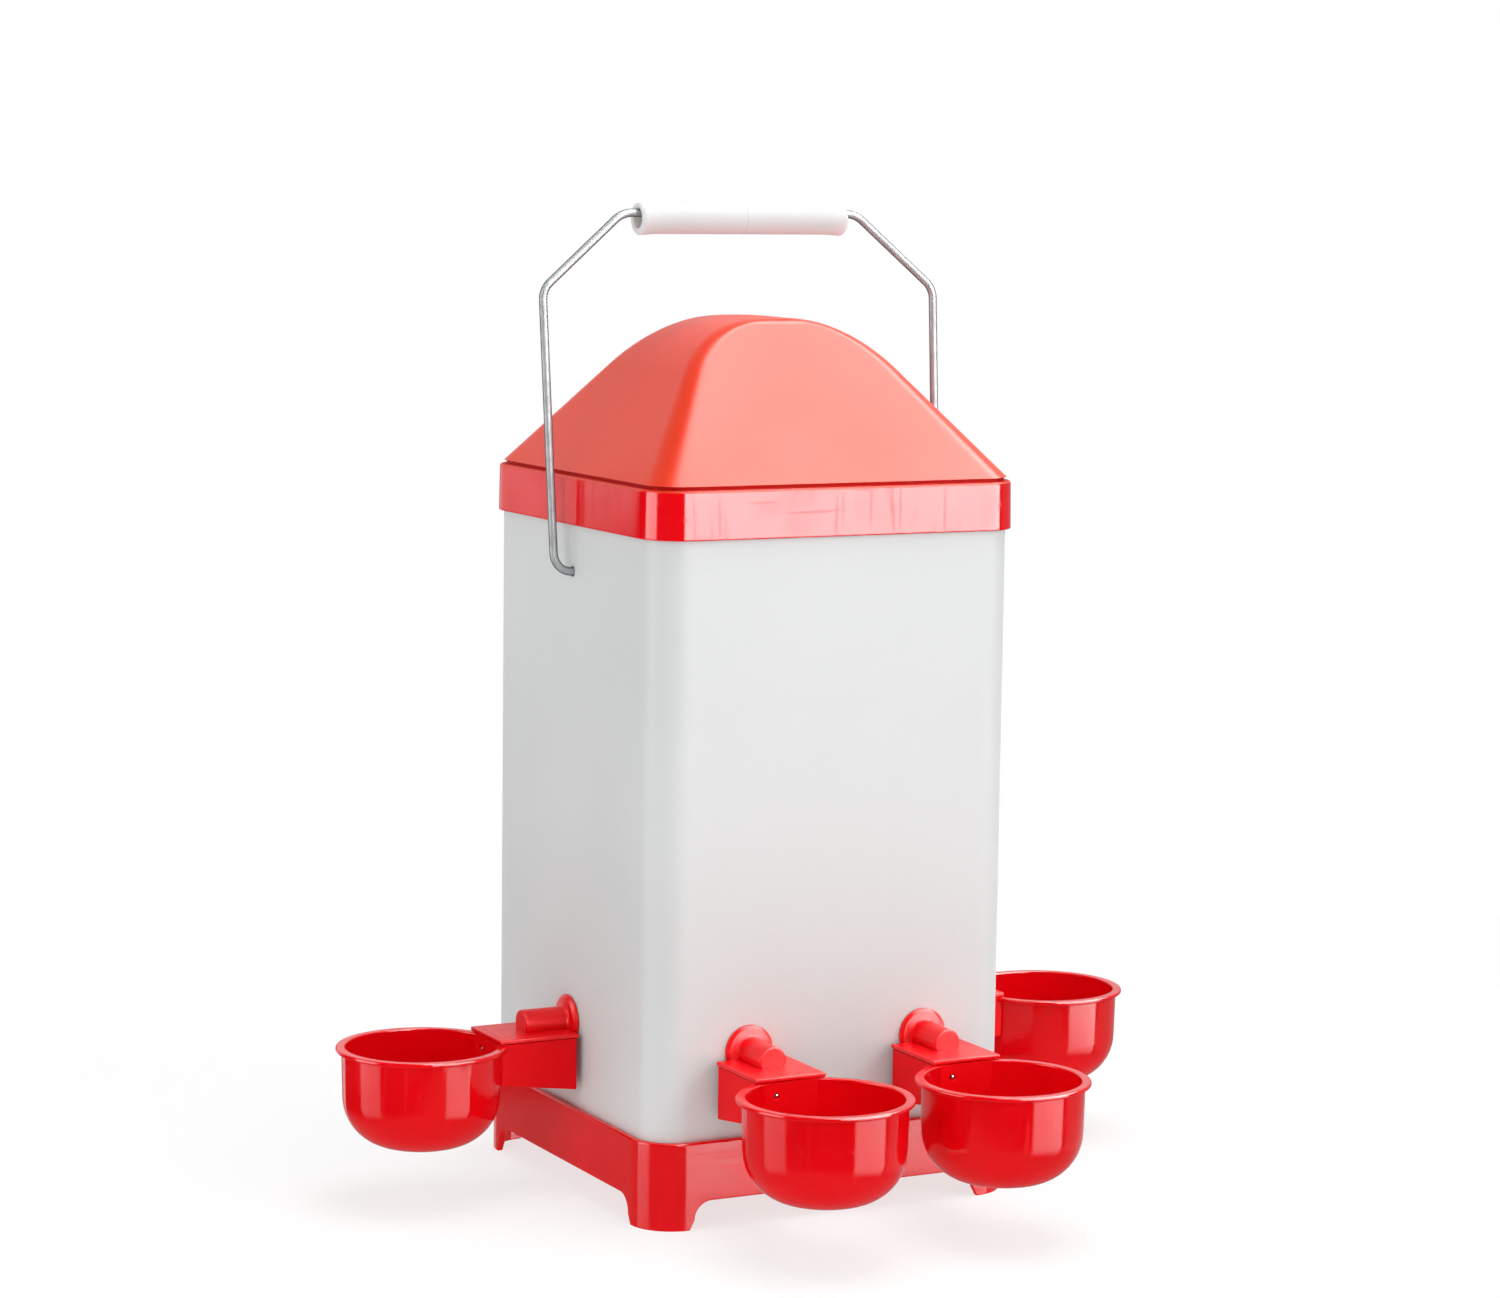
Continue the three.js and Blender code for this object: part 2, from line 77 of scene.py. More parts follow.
BASE_LOW, BASE_HIGH = box_mm("base_tray")
BASE_HALF = (BASE_HIGH[0] - BASE_LOW[0]) / 2
BASE_TOP = BASE_HIGH[2]
BASE_FIT = 0.35
BASE_FLOOR = 20.0
BASE_FLOOR_UNDER = 17.0
BASE_LIP_TOP = 34.0
BAND_BOTTOM = 13.4
ARCH_FILLET = 9.0
LEG_SLOPE = 2.4

LID_LOW, LID_HIGH = box_mm("lid")
LID_HALF_LOW = (LID_HIGH[0] - LID_LOW[0]) / 2
LID_HALF_HIGH = LID_HALF_LOW - 0.4
SKIRT_TOP = 345.7
SKIRT_WALL = 2.0
ROOF_HALF = 96.0
ROOF_WALL = 2.5
LEDGE = 2.4
GAP = 0.3
VAULT_X = {"slope": math.radians(52.3), "crown": 62.0}
VAULT_Y = {"slope": math.radians(47.2), "crown": 9.0}
ROOF_CORNER_HIGH = 7.0
ROOF_CORNER_LOW = 16.0
GROOVE_HEIGHT = 1.6
GROOVE_DEPTH = 0.6

PIVOT = np.array(body_joint("bail")["pos_m"]) / MM - (0, AXIS_Y, 0)
SPIN = np.array(body_joint("grip")["pos_m"]) / MM - (0, AXIS_Y, 0)
BAIL_LEAN = math.atan2(SPIN[1] - PIVOT[1], SPIN[2] - PIVOT[2])
GRIP_RISE = math.hypot(SPIN[1] - PIVOT[1], SPIN[2] - PIVOT[2])
GRIP_HALF = (box_mm("bail_grip")[1][0] - box_mm("bail_grip")[0][0]) / 2
WIRE_RADIUS = 2.0
WIRE_OUT = (box_mm("bail_wire")[1][0] - box_mm("bail_wire")[0][0]) / 2 - WIRE_RADIUS

INLET_Z = 82.4
COVER_TOP = 79.3
CUP_OUT = 76.8
CUP_TOP = 76.7
CUP_BOTTOM = box_mm("cup_front_left")[0][2]
CUP_LIP = (box_mm("cup_front_left")[1][0] - box_mm("cup_front_left")[0][0]) / 2
CUP_RADIUS = 38.0
CUP_LOW_RADIUS = 37.0
CUP_WALL = 1.8
CUP_FILLET = 24.0
CHAMBER = {"half": 17.6, "back": 3.5, "front": 43.2, "bottom": 51.8, "wall": 1.8, "top": 77.0}
CHAMBER_RISE = 5.4  # how much higher the underside is at the bowl than at the wall
WINDOW = {"left": -11, "right": 2, "bottom": 59.2, "top": 61.6}  # the gate into the bowl
PIN_X, PIN_Z = -7.0, 70.5
PIN_RADIUS = 1.0
RECESS_RADIUS, RECESS_DEPTH = 2.1, 1.2  # the countersink around the pin's front end
NOZZLE_OUT, NOZZLE_TIP = 18.0, 71.4
NOZZLE_AXIS = Matrix.Translation((0, -NOZZLE_OUT, 0))
PLATE = {"half": 18.0, "back": 2.8, "front": 43.8, "thickness": 2}
FLANGE_RADIUS = 12.3
PIPE_RADIUS, PIPE_OUT = 6.8, 25.5
BORE_RADIUS = 3
DRIP_RADIUS = 1.1
THREAD = {"major": 6.0, "minor": 5.35, "pitch": 1.8, "low": -13, "high": 1.2}
FLOAT = {"left": -4, "right": 14.4, "back": 8.4, "front": 38.6, "bottom": 59.6, "top": 64.8}
ARM_HALF = 3.4
HUB_RADIUS, HUB_BACK, HUB_FRONT = 2.8, 9.4, 37.6
GASKET_INNER, GASKET_OUTER, GASKET_THICK = 6.4, 11.5, 1.6
NUT_THICK, NUT_HALF_FLATS = 6, 10.5

FRONT_SPACING = (box_mm("cup_front_right")[1][0] + box_mm("cup_front_right")[0][0]) / 2
# Each drinker: where its hole is in the wall, and its turn about Z from the front face.
STATIONS = {
    "front_left": (-FRONT_SPACING, -TUBE_HALF, 0.0),
    "front_right": (FRONT_SPACING, -TUBE_HALF, 0.0),
    "left": (-TUBE_HALF, 0.0, -math.pi / 2),
    "right": (TUBE_HALF, 0.0, math.pi / 2),
}


def station_matrix(name):
    x, y, turn = STATIONS[name]
    return Matrix.Translation((x, y, 0)) @ Matrix.Rotation(turn, 4, "Z")


# ------------------------------------------------------------------ mesh helpers


def new_object(name, points, faces):
    """A mesh object from points in millimetres about the tank's axis, at the origin in metres."""
    mesh = bpy.data.meshes.new(name)
    metres = (np.asarray(points, float) * MM).tolist()
    mesh.from_pydata(metres, [], faces)
    mesh.validate()
    work = bmesh.new()
    work.from_mesh(mesh)
    bmesh.ops.remove_doubles(work, verts=work.verts, dist=1e-7)
    bmesh.ops.recalc_face_normals(work, faces=work.faces)
    work.to_mesh(mesh)
    work.free()
    obj = bpy.data.objects.new(name, mesh)
    bpy.context.scene.collection.objects.link(obj)
    return obj


def round_corners(corners, closed=True, steps=6):
    """A polyline from corners (u, v, radius), with an arc in place of each rounded corner."""
    points = []
    count = len(corners)
    for i, (u, v, radius) in enumerate(corners):
        here = np.array((u, v), float)
        if radius == 0 or (not closed and i in (0, count - 1)):
            points.append(here)
            continue
        before = np.array(corners[i - 1][:2], float) - here
        after = np.array(corners[(i + 1) % count][:2], float) - here
        before /= np.linalg.norm(before)
        after /= np.linalg.norm(after)
        half = math.acos(float(np.clip(before @ after, -1, 1))) / 2
        middle = before + after
        centre = here + middle / np.linalg.norm(middle) * radius / math.sin(half)
        start = here + before * radius / math.tan(half) - centre
        end = here + after * radius / math.tan(half) - centre
        first = math.atan2(start[1], start[0])
        sweep = math.atan2(end[1], end[0]) - first
        sweep = (sweep + math.pi) % (2 * math.pi) - math.pi
        for k in range(steps + 1):
            angle = first + sweep * k / steps
            points.append(centre + radius * np.array((math.cos(angle), math.sin(angle))))
    return points


def skin(name, rings, wrap=False, caps=True):
    """Quads between rings of equal length; wrap joins the last ring to the first, and caps
    closes the first and last rings with one face each."""
    count = len(rings[0])
    points = np.concatenate(rings)
    faces = []
    spans = len(rings) if wrap else len(rings) - 1
    for row in range(spans):
        low = row * count
        high = ((row + 1) % len(rings)) * count
        for i in range(count):
            j = (i + 1) % count
            faces.append((low + i, low + j, high + j, high + i))
    if caps and not wrap:
        last = (len(rings) - 1) * count
        faces.append(tuple(range(count - 1, -1, -1)))
        faces.append(tuple(range(last, last + count)))
    return new_object(name, points, faces)


def revolve(name, profile, segments=96, wrap=False):
    """A body turned about Z from a profile of (radius, z); a radius of 0 at an end closes it."""
    angles = np.arange(segments) * 2 * math.pi / segments - math.pi / 2
    rows = [point for point in profile if point[0] > 1e-6]
    rings = [
        np.column_stack((r * np.cos(angles), r * np.sin(angles), np.full(segments, z)))
        for r, z in rows
    ]
    return skin(name, rings, wrap=wrap)


def transform(obj, matrix):
    """Moves a mesh's own points; the matrix works in millimetres."""
    scaled = matrix.copy()
    scaled.translation = matrix.translation * MM
    obj.data.transform(scaled)
    obj.data.update()
    return obj


OUTWARD = Matrix.Rotation(math.pi / 2, 4, "X")  # turns +Z to -Y, away from the wall


def along_y(obj, z=0.0, x=0.0):
    return transform(obj, Matrix.Translation((x, 0, z)) @ OUTWARD)


def rounded_box(name, low, high, radius, segments=4):
    """A box with rounded edges."""
    low, high = np.array(low, float), np.array(high, float)
    obj = new_object(name, np.zeros((0, 3)), [])
    work = bmesh.new()
    bmesh.ops.create_cube(work, size=1.0)
    for vert in work.verts:
        unit = np.array(vert.co) + 0.5
        vert.co = Vector((low + unit * (high - low)) * MM)
    if radius > 0:
        bmesh.ops.bevel(
            work, geom=work.edges[:], offset=radius * MM, segments=segments,
            profile=0.5, affect="EDGES", clamp_overlap=True,
        )
    bmesh.ops.recalc_face_normals(work, faces=work.faces)
    work.to_mesh(obj.data)
    work.free()
    return obj


def combine(obj, other, operation):
    """Applies a boolean with another object, which is used up."""
    modifier = obj.modifiers.new("cut", "BOOLEAN")
    modifier.operation = operation
    modifier.solver = "EXACT"
    modifier.object = other
    bpy.context.view_layer.update()
    evaluated = obj.evaluated_get(bpy.context.evaluated_depsgraph_get())
    mesh = bpy.data.meshes.new_from_object(evaluated)
    mesh.name = obj.data.name
    obj.modifiers.clear()
    obj.data = mesh
    bpy.data.objects.remove(other)
    return obj


def join_to(obj, *others):
    for other in others:
        combine(obj, other, "UNION")
    return obj


def cut_from(obj, *others):
    for other in others:
        combine(obj, other, "DIFFERENCE")
    return obj


def smooth(obj, angle=32):
    """Smooth shading with edges sharper than the angle kept crisp."""
    mesh = obj.data
    mesh.polygons.foreach_set("use_smooth", [True] * len(mesh.polygons))
    mesh.set_sharp_from_angle(angle=math.radians(angle))
    weighted = obj.modifiers.new("face_weighted_normals", "WEIGHTED_NORMAL")
    weighted.keep_sharp = True
    return obj


def place(obj, node, body, material):
    """Puts a finished piece where its CAD node is, on its body and with its material."""
    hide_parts(node)
    obj.data.materials.clear()
    obj.data.materials.append(material)
    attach(obj, body)
    return obj


def set_in_tank_frame(obj):
    obj.location = (0, AXIS_Y * MM, 0)
    return obj


# ------------------------------------------------------------------ rounded square rings

HALF_SIDE_STEPS = 12
CORNER_STEPS = 14


def side_stations():
    """Distances along a side, from one corner's start to the other's, closer at the arches."""
    arc_centre = STRAIGHT - LEG_SLOPE - ARCH_FILLET
    arc = [arc_centre + ARCH_FILLET * math.sin(k * math.pi / 20) for k in range(11)]
    flat = list(np.linspace(0, arc_centre, 7))[:-1]
    half = flat + arc + [STRAIGHT - LEG_SLOPE / 2]
    return [-s for s in reversed(half)] + half[1:]


def square_ring(half, height):
    """A ring on a rounded square; height is a number or a function of the place along a side,
    which is 0 in the middle of a side and STRAIGHT or more around a corner."""
    along, points = [], []
    sides = side_stations()
    for quarter in range(4):
        turn = quarter * math.pi / 2
        cos, sin = math.cos(turn), math.sin(turn)
        edge = [(half, s, abs(s)) for s in sides]
        for k in range(CORNER_STEPS + 1):
            angle = k * math.pi / 2 / CORNER_STEPS
            reach = half - STRAIGHT
            x = STRAIGHT + reach * math.cos(angle)
            y = STRAIGHT + reach * math.sin(angle)
            edge.append((x, y, STRAIGHT))
        for x, y, s in edge:
            points.append((x * cos - y * sin, x * sin + y * cos))
            along.append(s)
    heights = [height(s) for s in along] if callable(height) else [height] * len(along)
    return np.column_stack((np.array(points), heights))


# ------------------------------------------------------------------ tank, seal and base


def tube_section(name, low, high, edge):
    """The tube's wall between two heights, with rounded rims."""
    outer, inner = TUBE_HALF, TUBE_HALF - TUBE_WALL
    profile = round_corners(
        [(outer, low, edge), (outer, high, edge), (inner, high, edge), (inner, low, edge)],
        steps=3,
    )
    return skin(name, [square_ring(half, z) for half, z in profile], wrap=True)


def make_tank_tube():
    obj = tube_section("tank_tube_look", TUBE_LOW[2], TUBE_HIGH[2], 0.5)
    for name in STATIONS:
        hole = revolve("hole", [(INLET_HOLE, -6), (INLET_HOLE, 4)], 64)
        along_y(hole, INLET_Z)
        cut_from(obj, transform(hole, station_matrix(name)))
    reach = TUBE_HALF + 4
    bail_hole = revolve("hole", [(BAIL_HOLE, -reach), (BAIL_HOLE, reach)], 40)
    across = Matrix.Rotation(math.pi / 2, 4, "Y")
    transform(bail_hole, Matrix.Translation((0, 0, PIVOT[2])) @ across)
    cut_from(obj, bail_hole)
    return set_in_tank_frame(smooth(obj))


def arch_height(s):
    """Height of the base wall's lower edge at a place along a side."""
    inner = STRAIGHT - LEG_SLOPE
    leg_top = BAND_BOTTOM - ARCH_FILLET
    centre = inner - ARCH_FILLET
    if s >= STRAIGHT:
        return 0.0
    if s >= inner:
        return leg_top * (STRAIGHT - s) / LEG_SLOPE
    if s > centre:
        return leg_top + math.sqrt(max(ARCH_FILLET**2 - (s - centre) ** 2, 0))
    return BAND_BOTTOM


def make_base_tray():
    inner = TUBE_HALF + BASE_FIT
    lip_out = TUBE_HALF - TUBE_WALL - GAP
    lip_in = lip_out - 2
    rim = round_corners(
        [
            (BASE_HALF, BAND_BOTTOM + 4, 0),
            (BASE_HALF, BASE_TOP, 0.9),
            (inner, BASE_TOP, 0.4),
            (inner, BASE_FLOOR, 0.4),
            (lip_out, BASE_FLOOR, 0.4),
            (lip_out, BASE_LIP_TOP, 0.6),
            (lip_in, BASE_LIP_TOP, 0.6),
            (lip_in, BASE_FLOOR, 0.8),
            (STRAIGHT + 4, BASE_FLOOR, 0),
        ],
        closed=False,
        steps=4,
    )
    edge = 0.7
    bottom = round_corners(
        [
            (STRAIGHT + 4, BASE_FLOOR_UNDER, 0),
            (inner, BASE_FLOOR_UNDER, 0.8),
            (inner, 0, edge),
            (BASE_HALF, 0, edge),
            (BASE_HALF, 5, 0),
        ],
        closed=False,
        steps=4,
    )
    rings = []
    for half, z in reversed(bottom):
        lowest = z < 2
        rings.append(square_ring(half, (lambda s, z=z: arch_height(s) + z) if lowest else z))
    rings = rings[:0:-1]  # the wall above the lower edge comes from the rim's first point
    upper = [square_ring(half, z) for half, z in rim]
    obj = skin("base_tray_look", rings + upper)
    add_base_ribs(obj, inner)
    return set_in_tank_frame(smooth(obj))


def add_base_ribs(obj, reach):
    pitch, half, low = 46, 1, BAND_BOTTOM
    high = BASE_FLOOR_UNDER + 1
    for at in (-pitch, 0, pitch):
        rib = rounded_box("rib", (at - half, -reach - 1, low), (at + half, reach + 1, high), 0)
        cross = rounded_box("rib", (-reach - 1, at - half, low), (reach + 1, at + half, high), 0)
        join_to(obj, rib, cross)


def make_base_seal():
    low, high = (corner[2] for corner in box_mm("base_seal"))
    return set_in_tank_frame(smooth(tube_section("base_seal_look", low, high, 0.4)))


# ------------------------------------------------------------------ lid


def vault_half(vault, base, base_z, top_z, z):
    """Half-width of a vault at a height: a straight slope, then an arc that ends level."""
    slope, crown = vault["slope"], vault["crown"]
    tangent_z = top_z - crown * (1 - math.cos(slope))
    if z <= tangent_z:
        return base - (z - base_z) / math.tan(slope)
    at_tangent = base - (tangent_z - base_z) / math.tan(slope)
    rise = z - (top_z - crown)
    return at_tangent - crown * math.sin(slope) + math.sqrt(max(crown**2 - rise**2, 0))


def roof_ring(half_x, half_y, corner, z):
    corner = min(corner, half_x - 0.3, half_y - 0.3)
    points = []
    for quarter, (sx, sy) in enumerate(((1, 1), (-1, 1), (-1, -1), (1, -1))):
        along = half_y if quarter % 2 == 0 else half_x
        reach = along - corner
        for k in range(HALF_SIDE_STEPS):
            share = k / HALF_SIDE_STEPS
            if quarter % 2 == 0:
                points.append((sx * half_x, sy * reach * share))
            else:
                points.append((sx * reach * share, sy * half_y))
        for k in range(CORNER_STEPS + 1):
            angle = (quarter + k / CORNER_STEPS) * math.pi / 2
            x = sx * (half_x - corner) + corner * math.cos(angle)
            y = sy * (half_y - corner) + corner * math.sin(angle)
            points.append((x, y))
        for k in range(1, HALF_SIDE_STEPS):
            share = 1 - k / HALF_SIDE_STEPS
            if quarter % 2 == 0:
                points.append((sx * (half_x - corner) * share, sy * half_y))
            else:
                points.append((sx * half_x, sy * (half_y - corner) * share))
    return np.column_stack((np.array(points), np.full(len(points), z)))


def roof_rings(base, base_z, top_z, rows, lowest=None):
    """Sections of the roof from top to foot, closest together at the crown."""
    rings = []
    lowest = base_z if lowest is None else lowest
    for k in range(rows + 1):
        z = top_z - (top_z - lowest) * (k / rows) ** 2
        share = (top_z - z) / (top_z - base_z)
        corner = ROOF_CORNER_HIGH + (ROOF_CORNER_LOW - ROOF_CORNER_HIGH) * share
        half_x = vault_half(VAULT_X, base, base_z, top_z, z)
        half_y = vault_half(VAULT_Y, base, base_z, top_z, z)
        rings.append(roof_ring(half_x, half_y, corner, z))
    return rings


def make_lid():
    top, low = LID_HIGH[2], LID_LOW[2]
    ledge_z = TUBE_HIGH[2] + GAP
    inner_low = LID_HALF_LOW - SKIRT_WALL
    inner_high = LID_HALF_HIGH - SKIRT_WALL + 0.2
    foot_z = SKIRT_TOP + GROOVE_HEIGHT
    foot = ROOF_HALF - GROOVE_HEIGHT / math.tan(VAULT_Y["slope"])
    skirt_profile = round_corners(
        [
            (foot + 0.02, foot_z - 0.02, 0),
            (foot, foot_z - 0.2, 0),
            (foot - GROOVE_DEPTH, foot_z - 0.5, 0),
            (foot - GROOVE_DEPTH, SKIRT_TOP - 0.1, 0.2),
            (LID_HALF_HIGH, SKIRT_TOP, 1.4),
            (LID_HALF_LOW, low, 0.6),
            (inner_low, low, 0.6),
            (inner_high, ledge_z, 0.5),
            (inner_high - LEDGE, ledge_z, 0),
        ],
        closed=False,
        steps=4,
    )
    rings = roof_rings(ROOF_HALF, SKIRT_TOP, top, 56, lowest=foot_z)
    for half, z in skirt_profile:
        rings.append(roof_ring(half, half, half - STRAIGHT, z))
    rings += roof_rings(inner_high - LEDGE, ledge_z, top - ROOF_WALL, 24)[::-1]
    return set_in_tank_frame(smooth(skin("lid_look", rings)))


# ------------------------------------------------------------------ bail


def sweep_wire(name, path, radius, sides=28):
    """A round wire along a path in the X-Z plane, with domed ends."""
    path = np.array([(x, 0.0, z) for x, z in path])
    steps = np.diff(path, axis=0)
    tangents = np.vstack((steps[:1], steps[:-1] + steps[1:], steps[-1:]))
    tangents /= np.linalg.norm(tangents, axis=1)[:, None]
    side = np.array((0.0, 1.0, 0.0))
    angles = np.arange(sides) * 2 * math.pi / sides

    def ring(centre, tangent, size):
        up = np.cross(tangent, side)
        return centre + size * (np.outer(np.cos(angles), side) + np.outer(np.sin(angles), up))

    dome = [math.sin(angle) for angle in np.linspace(0.35, math.pi / 2, 4)[:-1]]
    rings = []
    for size in dome:
        offset = radius * (1 - math.sqrt(1 - size**2))
        rings.append(ring(path[0] + tangents[0] * offset, tangents[0], radius * size))
    rings += [
        ring(centre, tangent, radius)
        for centre, tangent in zip(path[1:-1], tangents[1:-1])
    ]
    for size in reversed(dome):
        offset = radius * (1 - math.sqrt(1 - size**2))
        rings.append(ring(path[-1] - tangents[-1] * offset, tangents[-1], radius * size))
    return skin(name, rings)


def bail_matrix(z=0.0):
    pivot = Matrix.Translation(Vector((0, 0, PIVOT[2])))
    return pivot @ Matrix.Rotation(-BAIL_LEAN, 4, "X") @ Matrix.Translation((0, 0, z))


WIRE_ABOVE_GRIP = 2.5
SHOULDER_Z = 134.0
NECK_X = 63.5
ARM_X = 104.5
WIRE_END_X = 87.0


def make_bail_wire():
    top = GRIP_RISE + WIRE_ABOVE_GRIP
    half = [
        (WIRE_END_X, 0, 0),
        (ARM_X, 0, 9),
        (WIRE_OUT, SHOULDER_Z, 11),
        (NECK_X, top, 14),
    ]
    corners = half + [(-x, z, radius) for x, z, radius in reversed(half)]
    path = round_corners(corners, closed=False, steps=12)
    obj = sweep_wire("bail_wire_look", dense(path, 12.0), WIRE_RADIUS)
    transform(obj, bail_matrix())
    return set_in_tank_frame(smooth(obj, 60))


def dense(path, spacing):
    """The path with long straight runs divided."""
    points = [path[0]]
    for start, end in zip(path[:-1], path[1:]):
        parts = max(1, int(np.linalg.norm(end - start) // spacing))
        points += [start + (end - start) * k / parts for k in range(1, parts + 1)]
    return points


def make_bail_grip():
    half, middle, end, bore = GRIP_HALF, 7.6, 8.3, 4.8
    profile = round_corners(
        [
            (bore, -half, 0.8),
            (end, -half, 1.6),
            (middle, -half + 9, 14),
            (middle, -0.7, 0.3),
            (middle - 0.25, 0, 0),
            (middle, 0.7, 0.3),
            (middle, half - 9, 14),
            (end, half, 1.6),
            (bore, half, 0.8),
        ],
        steps=6,
    )
    obj = revolve("bail_grip_look", profile, 64, wrap=True)
    transform(obj, bail_matrix(GRIP_RISE) @ Matrix.Rotation(math.pi / 2, 4, "Y"))
    return set_in_tank_frame(smooth(obj))


# ------------------------------------------------------------------ drinker pieces
# Each is drawn once in the drinker's own frame, where the wall's outer face is y = 0 and the
# drinker reaches out along -Y, and then shown at the four stations.


def turned_bowl(name, corners, segments=144):
    obj = revolve(name, round_corners(corners, closed=False, steps=14), segments)
    return transform(obj, Matrix.Translation((0, -CUP_OUT, 0)))


def cup_outer():
    lip_low = CUP_TOP - 2.1
    return turned_bowl(
        "cup_look",
        [
            (0.01, CUP_BOTTOM, 0),
            (CUP_LOW_RADIUS, CUP_BOTTOM, CUP_FILLET),
            (CUP_RADIUS, lip_low, 0.7),
            (CUP_LIP, lip_low, 0.8),
            (CUP_LIP, CUP_TOP, 1.0),
            (0.01, CUP_TOP, 0),
        ],
    )


def cup_hollow():
    inner, low = CUP_RADIUS - CUP_WALL, CUP_LOW_RADIUS - CUP_WALL
    edge = 0.8
    rim = CUP_TOP - edge
    flare = [
        (inner + edge * (1 - math.cos(a)), rim + edge * math.sin(a), 0)
        for a in np.linspace(0, math.pi / 2, 6)
    ]
    floor = CUP_BOTTOM + CUP_WALL
    corners = [(0.01, floor, 0), (low, floor, CUP_FILLET - CUP_WALL)]
    corners += flare + [(inner + edge, CUP_TOP + 3, 0), (0.01, CUP_TOP + 3, 0)]
    return turned_bowl("hollow", corners)


def slope_underside(obj, low, high):
    """Lifts a box's underside towards the bowl and leaves its top level."""
    back, front = CHAMBER["back"], CHAMBER["front"]
    for vert in obj.data.vertices:
        out = (-vert.co.y / MM - back) / (front - back)
        depth = (high - vert.co.z / MM) / (high - low)
        vert.co.z += CHAMBER_RISE * out * depth * MM
    return obj


def make_cup():
    half, back, front = CHAMBER["half"], CHAMBER["back"], CHAMBER["front"]
    bottom, wall, top = CHAMBER["bottom"], CHAMBER["wall"], CHAMBER["top"]
    obj = cup_outer()
    box = rounded_box("box", (-half, -front, bottom), (half, -back, top + 5), 0.9)
    slope_underside(box, bottom, top + 5)
    cut_from(box, rounded_box("cap", (-50, -90, top), (50, 10, top + 20), 0))
    join_to(obj, box)
    hollow = cup_hollow()
    cut_from(hollow, rounded_box("slab", (-30, -front, 20), (30, 20, 90), 0))
    low_corner = (wall - half, wall - front, bottom + wall)
    inside = rounded_box("inside", low_corner, (half - wall, -back - wall, top + 9), 0.8)
    slope_underside(inside, bottom + wall, top + 9)
    window = rounded_box(
        "window",
        (WINDOW["left"], -front - 1, WINDOW["bottom"]),
        (WINDOW["right"], wall - front + 1, WINDOW["top"]),
        0.7,
    )
    saddle_radius = PIPE_RADIUS + GAP
    saddle_profile = [(saddle_radius, 0), (saddle_radius, back + 2 * wall)]
    saddle = along_y(revolve("saddle", saddle_profile, 64), INLET_Z)
    hole_radius = PIN_RADIUS + 0.1
    pin_profile = [(hole_radius, 0), (hole_radius, front + 1)]
    pin_hole = along_y(revolve("pin_hole", pin_profile, 24), PIN_Z, PIN_X)
    recess_profile = [
        (PIN_RADIUS + 0.2, front - RECESS_DEPTH),
        (RECESS_RADIUS, front),
        (RECESS_RADIUS, front + 1),
    ]
    recess = along_y(revolve("recess", recess_profile, 32), PIN_Z, PIN_X)
    return smooth(cut_from(obj, hollow, inside, window, saddle, pin_hole, recess))


def threaded_stem(major, minor, pitch, low, high, segments=48):
    """A rod about Z with a helical thread, its ends cut square."""
    angles = np.arange(segments) * 2 * math.pi / segments
    rings = []
    for z in np.linspace(low, high, int((high - low) / pitch * 8) + 1):
        phase = (z / pitch - angles / (2 * math.pi)) % 1.0
        ridge = 1 - np.abs(2 * phase - 1)
        chamfer = min(1.0, (z - low) / 0.9)
        radius = minor + (major - minor) * np.clip(ridge * 1.5 - 0.15, 0, 1) * chamfer
        x, y = radius * np.cos(angles), radius * np.sin(angles)
        rings.append(np.column_stack((x, y, np.full(segments, z))))
    return skin("stem", rings)


def make_inlet():
    flange = round_corners(
        [
            (0.01, GAP, 0),
            (FLANGE_RADIUS, GAP, 0.25),
            (FLANGE_RADIUS, 1.5, 0.5),
            (10.9, 2.7, 1.2),
            (7.2, 3.3, 0.8),
            (6.6, 5.0, 0),
            (0.01, 5.0, 0),
        ],
        closed=False,
        steps=5,
    )
    obj = along_y(revolve("inlet_look", flange, 96), INLET_Z)
    pipe_corners = [
        (0.01, 1, 0),
        (PIPE_RADIUS, 1, 0),
        (PIPE_RADIUS, PIPE_OUT, 0.9),
        (0.01, PIPE_OUT, 0),
    ]
    pipe_profile = round_corners(pipe_corners, closed=False, steps=5)
    pipe = along_y(revolve("pipe", pipe_profile, 80), INLET_Z)
    plate = rounded_box(
        "plate",
        (-PLATE["half"], -PLATE["front"], COVER_TOP - PLATE["thickness"]),
        (PLATE["half"], -PLATE["back"], COVER_TOP),
        0.45,
        segments=3,
    )
    stem = along_y(threaded_stem(**THREAD), INLET_Z)
    nozzle_profile = [
        (0.01, NOZZLE_TIP),
        (1.9, NOZZLE_TIP),
        (2.2, NOZZLE_TIP + 0.5),
        (3, INLET_Z),
        (0.01, INLET_Z),
    ]
    nozzle = revolve("nozzle", nozzle_profile, 40)
    transform(nozzle, NOZZLE_AXIS)
    join_to(obj, pipe, plate, stem, nozzle)
    bore = [(BORE_RADIUS, -16), (BORE_RADIUS, NOZZLE_OUT + 2)]
    bore = along_y(revolve("bore", bore, 48), INLET_Z)
    drip = revolve("drip", [(DRIP_RADIUS, NOZZLE_TIP - 4), (DRIP_RADIUS, INLET_Z)], 24)
    transform(drip, NOZZLE_AXIS)
    return smooth(cut_from(obj, bore, drip))


